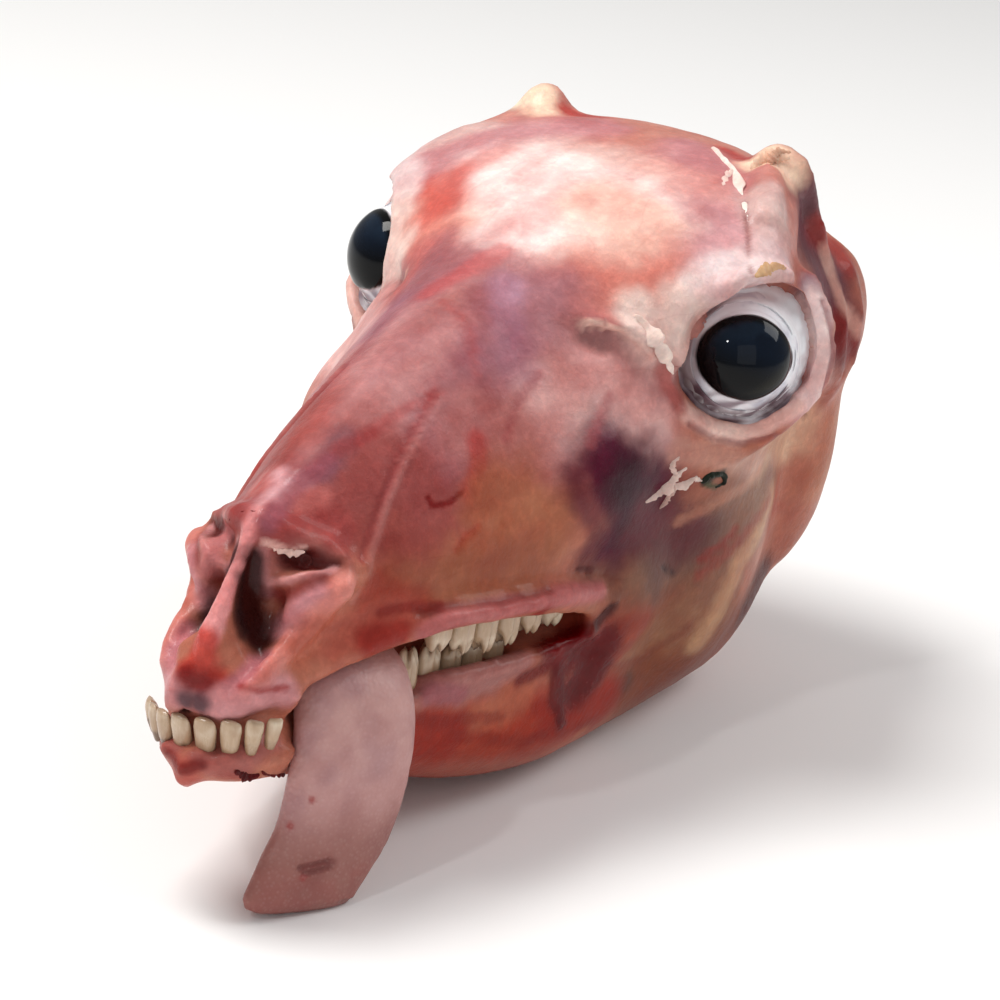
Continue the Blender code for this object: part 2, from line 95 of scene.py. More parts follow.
def linear(colour):  # sRGB 0-255 to linear, (c + 0.055) / 1.055 to the power 2.4
    c = np.asarray(colour, float) / 255
    return np.where(c <= 0.04045, c / 12.92, ((c + 0.055) / 1.055) ** 2.4)


def blend(colours, colour, share):  # colours + (colour - colours) share
    return colours + (linear(colour) - colours) * share


def smoothStep(t):  # 3t^2 - 2t^3, held to 0..1
    t = np.clip(t, 0, 1)
    return t * t * (3 - 2 * t)


def curveThrough(knots, count):  # cubic Hermite through the knots, mean slopes
    knots = np.asarray(knots, float)
    place = np.linspace(0, len(knots) - 1, count)
    i = np.clip(place.astype(int), 0, len(knots) - 2)
    t = (place - i)[:, None]
    slope = np.gradient(knots, axis=0)
    return (
        knots[i] * (1 + 2 * t) * (1 - t) ** 2
        + slope[i] * t * (1 - t) ** 2
        + knots[i + 1] * t * t * (3 - 2 * t)
        - slope[i + 1] * t * t * (1 - t)
    )


def softNoise(points, cell, seed):  # random lattice values mixed by 3t^2 - 2t^3, -1..1
    q = np.asarray(points, float) / cell
    base = np.floor(q).astype(np.int64)
    t = q - base
    t = t * t * (3 - 2 * t)
    total = np.zeros(len(q))
    for corner in np.ndindex(2, 2, 2):
        k = base + np.array(corner)
        h = (k[:, 0] * 73856093) ^ (k[:, 1] * 19349663) ^ (k[:, 2] * 83492791) ^ (seed * 2654435)
        h = ((h ^ (h >> 13)) * 1274126177) & 0x7FFFFFFF
        h = (h ^ (h >> 15)) & 0xFFFF
        weight = np.prod(np.where(np.array(corner) == 1, t, 1 - t), axis=1)
        total += weight * (h / 32767.5 - 1)
    return total


def layeredNoise(points, cell, seed, layers=3):  # sum of noise at cell / 2^k, weight 1 / 2^k
    total = sum(softNoise(points, cell / 2**k, seed + k) / 2**k for k in range(layers))
    return total / (2 - 2 ** (1 - layers))


def sightLines(pixels):  # from the camera through points of a 1000 x 1000 frame
    pixels = np.asarray(pixels, float) - 500
    focal = camera["lens"] / camera["sensor"] * 1000
    rays = np.array(camera["view"]) * focal
    rays = rays + pixels[:, :1] * np.array(camera["right"]) + pixels[:, 1:] * np.array(camera["down"])
    return unit(rays)


def onBall(pixels, centre, radius):  # first meeting of sight lines with a ball
    start = np.array(camera["place"]) - np.asarray(centre, float)
    rays = sightLines(pixels)
    half = rays @ start
    root = np.sqrt(np.maximum(half**2 - start @ start + radius**2, 0))
    return np.array(camera["place"]) + rays * (-half - root)[:, None]


def gridFaces(rows, sides):  # quads of a grid whose rows are closed rings
    i, j = np.meshgrid(np.arange(rows - 1), np.arange(sides), indexing="ij")
    k = (j + 1) % sides
    quads = np.stack((i * sides + j, i * sides + k, (i + 1) * sides + k, (i + 1) * sides + j), -1)
    return quads.reshape(-1, 4).tolist()


def joinedEnds(rows, sides):  # the same grid with its last row joined to its first
    faces = gridFaces(rows, sides)
    for j in range(sides):
        k = (j + 1) % sides
        faces.append([(rows - 1) * sides + j, (rows - 1) * sides + k, k, j])
    return faces


def closedForm(rings):  # rings (rows, sides, 3) made a closed skin, a centre point at each end
    rings = np.asarray(rings, float)
    rows, sides = rings.shape[:2]
    verts = np.concatenate((rings.reshape(-1, 3), rings[:1].mean(1), rings[-1:].mean(1)))
    faces = gridFaces(rows, sides)
    near, far = rows * sides, rows * sides + 1
    for j in range(sides):
        k = (j + 1) % sides
        faces.append([near, k, j])
        faces.append([far, (rows - 1) * sides + j, (rows - 1) * sides + k])
    return verts, faces


# Rings at radius r(s) round a curve p(s), squeezed by flat along their second axis
def tube(knots, radii, sides=12, count=24, flat=1.0, up=(0.1, 0.2, 1)):
    path = curveThrough(knots, count)
    size = curveThrough(np.asarray(radii, float)[:, None], count)[:, 0]
    way = unit(np.gradient(path, axis=0))
    across = unit(np.cross(np.broadcast_to(up, way.shape), way))
    other = np.cross(way, across)
    before, after = path[0] - way[0] * size[0] * 0.7, path[-1] + way[-1] * size[-1] * 0.7
    path = np.concatenate(([before], path, [after]))
    size = np.concatenate(([size[0] * 0.5], size, [size[-1] * 0.5]))
    across = np.concatenate((across[:1], across, across[-1:]))[:, None]
    other = np.concatenate((other[:1], other, other[-1:]))[:, None]
    a = np.linspace(0, 2 * math.pi, sides, endpoint=False)[None, :, None]
    section = np.cos(a) * across + np.sin(a) * other * flat
    return closedForm(path[:, None] + size[:, None, None] * section)


def mirrored(form):  # x to -x, faces turned round
    verts, faces = form
    return verts * np.array((-1, 1, 1)), [face[::-1] for face in faces]


def rawMesh(name, forms):  # one mesh in world metres from forms in the head frame
    verts, faces, first = [], [], 0
    for points, polygons in forms:
        verts.append(points)
        faces += [[k + first for k in face] for face in polygons]
        first += len(points)
    mesh = bpy.data.meshes.new(name)
    mesh.from_pydata(toWorld(np.concatenate(verts)).tolist(), [], faces)
    mesh.update()
    return mesh


def outward(mesh):  # points in one place joined, faces turned outwards
    bm = bmesh.new()
    bm.from_mesh(mesh)
    bmesh.ops.remove_doubles(bm, verts=bm.verts, dist=1e-7)
    bmesh.ops.recalc_face_normals(bm, faces=bm.faces)
    bm.to_mesh(mesh)
    bm.free()


def meshPoints(mesh):  # in the head frame
    spots = np.empty(len(mesh.vertices) * 3, np.float32)
    mesh.vertices.foreach_get("co", spots)
    return toHead(spots.reshape(-1, 3))


def setPoints(mesh, points):  # from the head frame
    mesh.vertices.foreach_set("co", toWorld(points).astype(np.float32).ravel())
    mesh.update()


def meshTree(mesh):  # for sight lines in the head frame
    points = [Vector(p) for p in meshPoints(mesh)]
    return BVHTree.FromPolygons(points, [tuple(face.vertices) for face in mesh.polygons])


def meshNormals(mesh):  # in the head frame
    found = np.empty(len(mesh.vertices) * 3, np.float32)
    mesh.vertex_normals.foreach_get("vector", found)
    return found.reshape(-1, 3) @ headTurn


def giveColour(mesh, name, colours):  # linear colour per point
    layer = mesh.color_attributes.new(name, "FLOAT_COLOR", "POINT")
    full = np.concatenate((np.clip(colours, 0, 1), np.ones((len(colours), 1))), 1)
    layer.data.foreach_set("color", full.astype(np.float32).ravel())


def giveValue(mesh, name, values):  # number per point
    layer = mesh.attributes.new(name, "FLOAT", "POINT")
    layer.data.foreach_set("value", np.asarray(values, np.float32))


def showPiece(mesh, material, nodes=()):  # nodes are the solids it stands for
    piece = bpy.data.objects.new(mesh.name, mesh)
    bpy.context.scene.collection.objects.link(piece)
    mesh.materials.clear()
    mesh.materials.append(material)
    mesh.shade_smooth()
    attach(piece, "root")
    if nodes:
        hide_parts(*nodes)
    return piece


# Materials


def nodeTree(name):
    material = bpy.data.materials.new(name)
    material.use_nodes = True
    tree = material.node_tree
    return material, tree, tree.nodes["Principled BSDF"]


def setInputs(node, values):
    for socket, value in values.items():
        node.inputs[socket].default_value = value


def addNode(tree, kind, links=(), **settings):
    made = tree.nodes.new(kind)
    for key, value in settings.items():
        setattr(made, key, value)
    for source, socket in links:
        tree.links.new(source, made.inputs[socket])
    return made


def paintedTree(name):  # a tree with object coordinates and the painted colour
    material, tree, shader = nodeTree(name)
    coords = addNode(tree, "ShaderNodeTexCoord").outputs["Object"]
    base = addNode(tree, "ShaderNodeVertexColor", layer_name="skinColour").outputs["Color"]
    return material, tree, shader, coords, base


def noiseNode(tree, coords, scale, detail=4.0, roughness=0.6, stretch=(1, 1, 1)):
    place = addNode(tree, "ShaderNodeMapping", [(coords, "Vector")])
    setInputs(place, {"Scale": stretch})
    made = addNode(tree, "ShaderNodeTexNoise", [(place.outputs[0], "Vector")])
    setInputs(made, {"Scale": scale, "Detail": detail, "Roughness": roughness})
    return made


def rangeNode(tree, source, low, high, newLow, newHigh):  # low..high to newLow..newHigh
    made = addNode(tree, "ShaderNodeMapRange", [(source, "Value")])
    setInputs(made, {"From Min": low, "From Max": high, "To Min": newLow, "To Max": newHigh})
    return made.outputs[0]


def mixNode(tree, factor, first, second, blend="MIX"):
    made = tree.nodes.new("ShaderNodeMix")
    made.data_type = "RGBA"
    made.blend_type = blend
    for value, socket in ((factor, 0), (first, 6), (second, 7)):
        if hasattr(value, "links"):
            tree.links.new(value, made.inputs[socket])
        else:
            made.inputs[socket].default_value = value
    return made.outputs[2]


def stainNode(tree, source, span, shade, colour):  # shade times colour, as far as span says
    return mixNode(tree, rangeNode(tree, source, *span), shade, (*colour, 1), "MULTIPLY")


def mathNode(tree, source, operation, *values):  # the values go into the sockets after the source
    made = addNode(tree, "ShaderNodeMath", [(source, 0)], operation=operation)
    setInputs(made, {k + 1: value for k, value in enumerate(values)})
    return made


def bumpNode(tree, height, strength, distance, links=()):
    made = addNode(tree, "ShaderNodeBump", [(height, "Height"), *links])
    setInputs(made, {"Strength": strength, "Distance": distance})
    return made


# Vertex colour mottled by two noises, a film of wetness over it, fine wrinkles as bump
def wetFlesh(name, look):
    material, tree, shader, coords, base = paintedTree(name)
    wet = addNode(tree, "ShaderNodeAttribute", attribute_name="wet").outputs["Fac"]
    broad = noiseNode(tree, coords, look["blotchScale"], 5.0, 0.62)
    fine = noiseNode(tree, coords, look["grainScale"], 6.0, 0.66)
    veins = noiseNode(tree, coords, look["veinScale"], 2.0, 0.5, (1.0, 0.45, 1.3))
    blotches, flecks = (0.35, 0.68, 0.0, look["blotch"]), (0.45, 0.75, 0.0, look["fleck"])
    shade = stainNode(tree, broad.outputs["Fac"], blotches, base, look["blotchColour"])
    shade = stainNode(tree, fine.outputs["Fac"], flecks, shade, look["fleckColour"])
    ridge = mathNode(tree, veins.outputs["Fac"], "SUBTRACT", 0.5)
    ridge = mathNode(tree, ridge.outputs[0], "ABSOLUTE")
    lines = (0.0, look["veinWide"], look["vein"], 0.0)
    shade = stainNode(tree, ridge.outputs[0], lines, shade, look["veinColour"])
    tree.links.new(shade, shader.inputs["Base Color"])
    spread = look["roughSpread"]
    rough = mathNode(tree, fine.outputs["Fac"], "MULTIPLY_ADD", spread, look["rough"] - spread / 2)
    less = mathNode(tree, wet, "MULTIPLY_ADD", -look["wetSmooth"])
    tree.links.new(rough.outputs[0], less.inputs[2])
    tree.links.new(less.outputs[0], shader.inputs["Roughness"])
    bump = bumpNode(tree, fine.outputs["Fac"], look["bump"], look["bumpDepth"])
    under = [(bump.outputs[0], "Normal")]
    lumps = bumpNode(tree, broad.outputs["Fac"], look["bump"] * 0.8, look["bumpDepth"] * 3, under)
    tree.links.new(lumps.outputs[0], shader.inputs["Normal"])
    setInputs(shader, {
        "Specular IOR Level": look["shine"],
        "Subsurface Weight": look["depth"],
        "Subsurface Radius": (0.0030, 0.0011, 0.0007),
        "Subsurface Scale": 1.0,
        "Coat Weight": look["coat"],
        "Coat Roughness": look["coatRough"],
    })
    return material


fleshLook = {
    "blotchScale": 55.0, "blotch": 0.45, "blotchColour": (0.70, 0.36, 0.34),
    "grainScale": 420.0, "fleck": 0.6, "fleckColour": (1.45, 1.4, 1.35),
    "veinScale": 60.0, "vein": 0.12, "veinWide": 0.012, "veinColour": (0.62, 0.30, 0.34),
    "rough": 0.46, "roughSpread": 0.25, "wetSmooth": 0.25, "shine": 0.08,
    "bump": 0.5, "bumpDepth": 0.0008, "depth": 0.12, "coat": 0.15, "coatRough": 0.14,
}


# The skin of the head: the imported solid, rounded, with finer folds fused into it

skin = {
    "cell": 1.76,  # mm
    "softening": 5,  # rounds
    "detailBoxes": (  # low and high corners where the mesh is twice as fine
        ((-30, -205, 8), (48, -120, 92)),
        ((26, -125, 26), (50, -74, 70)),
        ((28, -82, 70), (72, -8, 152)),
    ),
    "lidWide": 7.0,
    "lidThick": 1.7,
    "lidSink": 3.5,
    "warp": (2.2, 1.1),  # mm that the edges of the strokes wander, widely and finely
    "warpCells": (9.0, 2.6),
    "base": (175, 105, 85),
    "roughness": 0.16,  # mm of unevenness
    "roughCell": 5.0,
    "streaks": 0.30,
    "streakCell": 4.0,
    "streakStretch": (1.0, 0.28, 1.0),
    "blotches": 0.34,
    "blotchCell": 13.0,
    "wet": 0.15,
}


# Flat ring from the outline of the eye opening outwards, c(b) = middle + half cos b + gaze sin b
def orbitRing(side, inner, outer, thick, sink, count=72):
    e = np.asarray(eyeShape["centre"], float)
    gaze = unit(eyeShape["gaze"])
    edge = onBall(inner, e, eyeShape["radius"] + eyeShape["lidGap"])
    edge = curveThrough(np.concatenate((edge, edge[:1])), count + 1)[:-1]
    out = unit(edge - e - ((edge - e) @ gaze)[:, None] * gaze)
    rim = edge + out * outer - gaze * sink
    middle, half = (edge + rim) / 2, (rim - edge) / 2
    b = np.linspace(0, 2 * math.pi, 12, endpoint=False)[None, :, None]
    rings = middle[:, None] + half[:, None] * np.cos(b) + gaze * np.sin(b) * thick
    form = rings.reshape(-1, 3), joinedEnds(*rings.shape[:2])
    return form if side > 0 else mirrored(form)


eyeOpening = (
    (676, 372), (684, 344), (699, 318), (718, 297), (745, 286), (779, 281), (799, 291), (812, 316),
    (817, 349), (808, 380), (789, 400), (763, 416), (735, 423), (706, 414), (687, 399), (677, 386),
)


# Folds fused into the skin: points in the 1000 x 1000 frame, radii in mm, how far the fold
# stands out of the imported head, and whether the other side has it too
folds = {
    "septum": (((264, 506), (251, 535), (240, 562), (231, 586), (222, 608), (213, 632), (207, 652)),
        (1.3, 1.5, 1.6, 1.8, 2.0, 2.3, 2.6), 0.7, False),
    "lipBand": (((345, 588), (312, 620), (285, 648), (262, 670), (243, 690)),
        (2.4, 2.8, 2.8, 2.4, 1.8), 0.5, True),
    "alarTop": (((268, 520), (282, 532), (303, 541), (326, 548), (345, 566)),
        (2.2, 2.8, 2.8, 2.4, 1.8), 0.9, True),
    "curl": (((264, 550), (260, 566), (262, 582), (270, 593)), (1.5, 1.9, 1.9, 1.5), 0.9, True),
    "whiteRidge": (((268, 586), (290, 583), (312, 577), (338, 566)),
        (1.2, 1.4, 1.4, 1.2), 0.9, True),
    "wrinkleOne": (((282, 608), (302, 600), (332, 588)), (1.2, 1.4, 1.2), 0.4, True),
    "wrinkleTwo": (((274, 632), (290, 614), (312, 600)), (1.2, 1.5, 1.2), 0.4, True),
    "padLip": (((172, 700), (192, 716), (230, 721), (268, 714), (294, 694)),
        (2.4, 3.2, 3.4, 3.2, 2.4), 0.2, False),
    "farWing": (((226, 522), (214, 548), (205, 574)), (2.0, 2.6, 2.2), 0.5, False),
    "farCurl": (((208, 612), (194, 616), (185, 626)), (1.5, 1.9, 1.5), 0.4, False),
    "farTag": (((198, 640), (186, 646), (183, 660)), (1.4, 1.8, 1.6), 0.4, False),
    "granularOne": (((202, 662), (188, 668), (178, 676)), (1.8, 2.2, 1.8), 0.5, False),
    "granularTwo": (((196, 678), (180, 686), (170, 692)), (1.6, 2.0, 1.6), 0.4, False),
    "chinPoint": (((196, 758), (187, 770), (184, 782), (186, 790)),
        (3.4, 3.0, 2.0, 1.2), 0.2, False),
    "gumRidge": (((146, 724), (164, 746), (190, 759), (216, 763), (242, 757), (266, 742), (286, 722)),
        (1.6, 2.0, 2.2, 2.2, 2.2, 2.0, 1.6), 0.2, False),
    "upperRoll": (((432, 628), (452, 616), (500, 608), (550, 598), (600, 592), (614, 602)),
        (1.6, 2.6, 2.8, 2.8, 2.4, 1.8), 0.5, True),
    "lowerGum": (((404, 684), (440, 680), (480, 672), (520, 660), (560, 646), (596, 632)),
        (2.2, 2.4, 2.4, 2.2, 2.0, 1.6), 0.3, True),
    "stumpBulge": (((766, 178), (768, 198), (764, 222)), (4.2, 4.6, 3.6), 0.2, False),
    "hollowEdge": (((585, 322), (604, 323), (626, 331), (645, 344), (662, 362)),
        (1.6, 2.0, 2.4, 2.6, 2.2), 0.8, False),
    "browRoll": (((676, 366), (688, 338), (704, 312), (728, 288), (758, 274), (788, 276)),
        (1.6, 2.2, 2.4, 2.4, 2.2, 1.8), 1.4, False),
    "rearCord": (((800, 160), (812, 214), (826, 262), (836, 306), (840, 350), (828, 396)),
        (2.4, 2.2, 2.0, 2.0, 2.0, 1.6), 0.7, False),
    "templeStrand": (((826, 222), (846, 262), (858, 306), (852, 352), (838, 384)),
        (1.4, 1.6, 1.6, 1.6, 1.4), 0.5, False),
}


# Lid rings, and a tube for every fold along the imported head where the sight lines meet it
def fusedForms():
    tree = meshTree(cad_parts["head"].data)
    forms = []
    for side in (1, -1):
        forms.append(orbitRing(side, eyeOpening, skin["lidWide"], skin["lidThick"], skin["lidSink"]))
    for name, (where, radii, stand, bothSides) in folds.items():
        rays = sightLines(where)
        hits = [tree.ray_cast(Vector(camera["place"]), Vector(ray)) for ray in rays]
        knots = np.array([np.array(hit[0]) + np.array(hit[1]) * stand for hit in hits if hit[0]])
        if len(knots) < 2:
            print("fold misses the head:", name)
            continue
        form = tube(knots, [r for hit, r in zip(hits, radii) if hit[0]], 12, 8 * len(knots))
        forms.append(form)
        if bothSides:
            forms.append(mirrored(form))
    return forms


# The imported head, rounded once, fused with the folds in cubes of one cell, then softened.
# The mesh is halved in the detail boxes
def headSkin():
    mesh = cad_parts["head"].data.copy()
    bm = bmesh.new()
    bm.from_mesh(mesh)
    bmesh.ops.remove_doubles(bm, verts=bm.verts, dist=1e-6)
    bm.to_mesh(mesh)
    bm.free()
    work = bpy.data.objects.new("work", mesh)
    bpy.context.scene.collection.objects.link(work)
    fine = work.modifiers.new("Round", "SUBSURF")
    fine.levels = fine.render_levels = 1
    rounded = bpy.data.meshes.new_from_object(work.evaluated_get(bpy.context.evaluated_depsgraph_get()))
    bm = bmesh.new()
    bm.from_mesh(rounded)
    extra = rawMesh("extra", fusedForms())
    outward(extra)
    bm.from_mesh(extra)
    bm.to_mesh(mesh)
    bm.free()
    work.modifiers.clear()
    fuse = work.modifiers.new("Fuse", "REMESH")
    fuse.mode = "VOXEL"
    fuse.voxel_size = skin["cell"] * 0.001
    soften = work.modifiers.new("Soften", "SMOOTH")
    soften.factor = 0.5
    soften.iterations = skin["softening"]
    bpy.context.view_layer.update()
    fused = bpy.data.meshes.new_from_object(work.evaluated_get(bpy.context.evaluated_depsgraph_get()))
    bpy.data.objects.remove(work)
    bm = bmesh.new()
    bm.from_mesh(fused)
    bm.edges.ensure_lookup_table()
    points = meshPoints(fused)
    near = np.zeros(len(points), bool)
    for low, high in skin["detailBoxes"]:
        near |= np.all((points > low) & (points < high), axis=1)
    chosen = [edge for edge in bm.edges if near[edge.verts[0].index] and near[edge.verts[1].index]]
    bmesh.ops.subdivide_edges(bm, edges=chosen, cuts=1, use_grid_fill=True)
    bmesh.ops.triangulate(bm, faces=[face for face in bm.faces if len(face.verts) > 4])
    bm.to_mesh(fused)
    bm.free()
    fused.name = "headSkin"
    return fused


def relax(mesh, points, rounds, amount=0.5):  # each point moves towards the mean of its neighbours
    pairs = np.empty(len(mesh.edges) * 2, np.int32)
    mesh.edges.foreach_get("vertices", pairs)
    a, b = pairs.reshape(-1, 2).T
    count = np.bincount(a, minlength=len(points)) + np.bincount(b, minlength=len(points))
    for _ in range(rounds):
        total = np.stack([
            np.bincount(a, points[b, k], len(points)) + np.bincount(b, points[a, k], len(points))
            for k in range(points.shape[1])
        ], 1)
        points = points + amount * (total / count[:, None] - points)
    return points


headMesh = headSkin()
headTree = meshTree(headMesh)


def onTree(tree, pixels):  # where the sight lines meet a surface
    start = Vector(camera["place"])
    hits = [tree.ray_cast(start, Vector(ray))[0] for ray in sightLines(pixels)]
    return np.array([hit for hit in hits if hit is not None])


def reach(points, knots):  # distance of each point to a line through the knots
    if len(knots) == 1:
        return np.linalg.norm(points - knots[0], axis=1)
    best = np.full(len(points), 1e9)
    for a, b in zip(knots, knots[1:]):
        step = b - a
        t = np.clip((points - a) @ step / max(step @ step, 1e-9), 0, 1)[:, None]
        best = np.minimum(best, np.linalg.norm(points - a - t * step, axis=1))
    return best


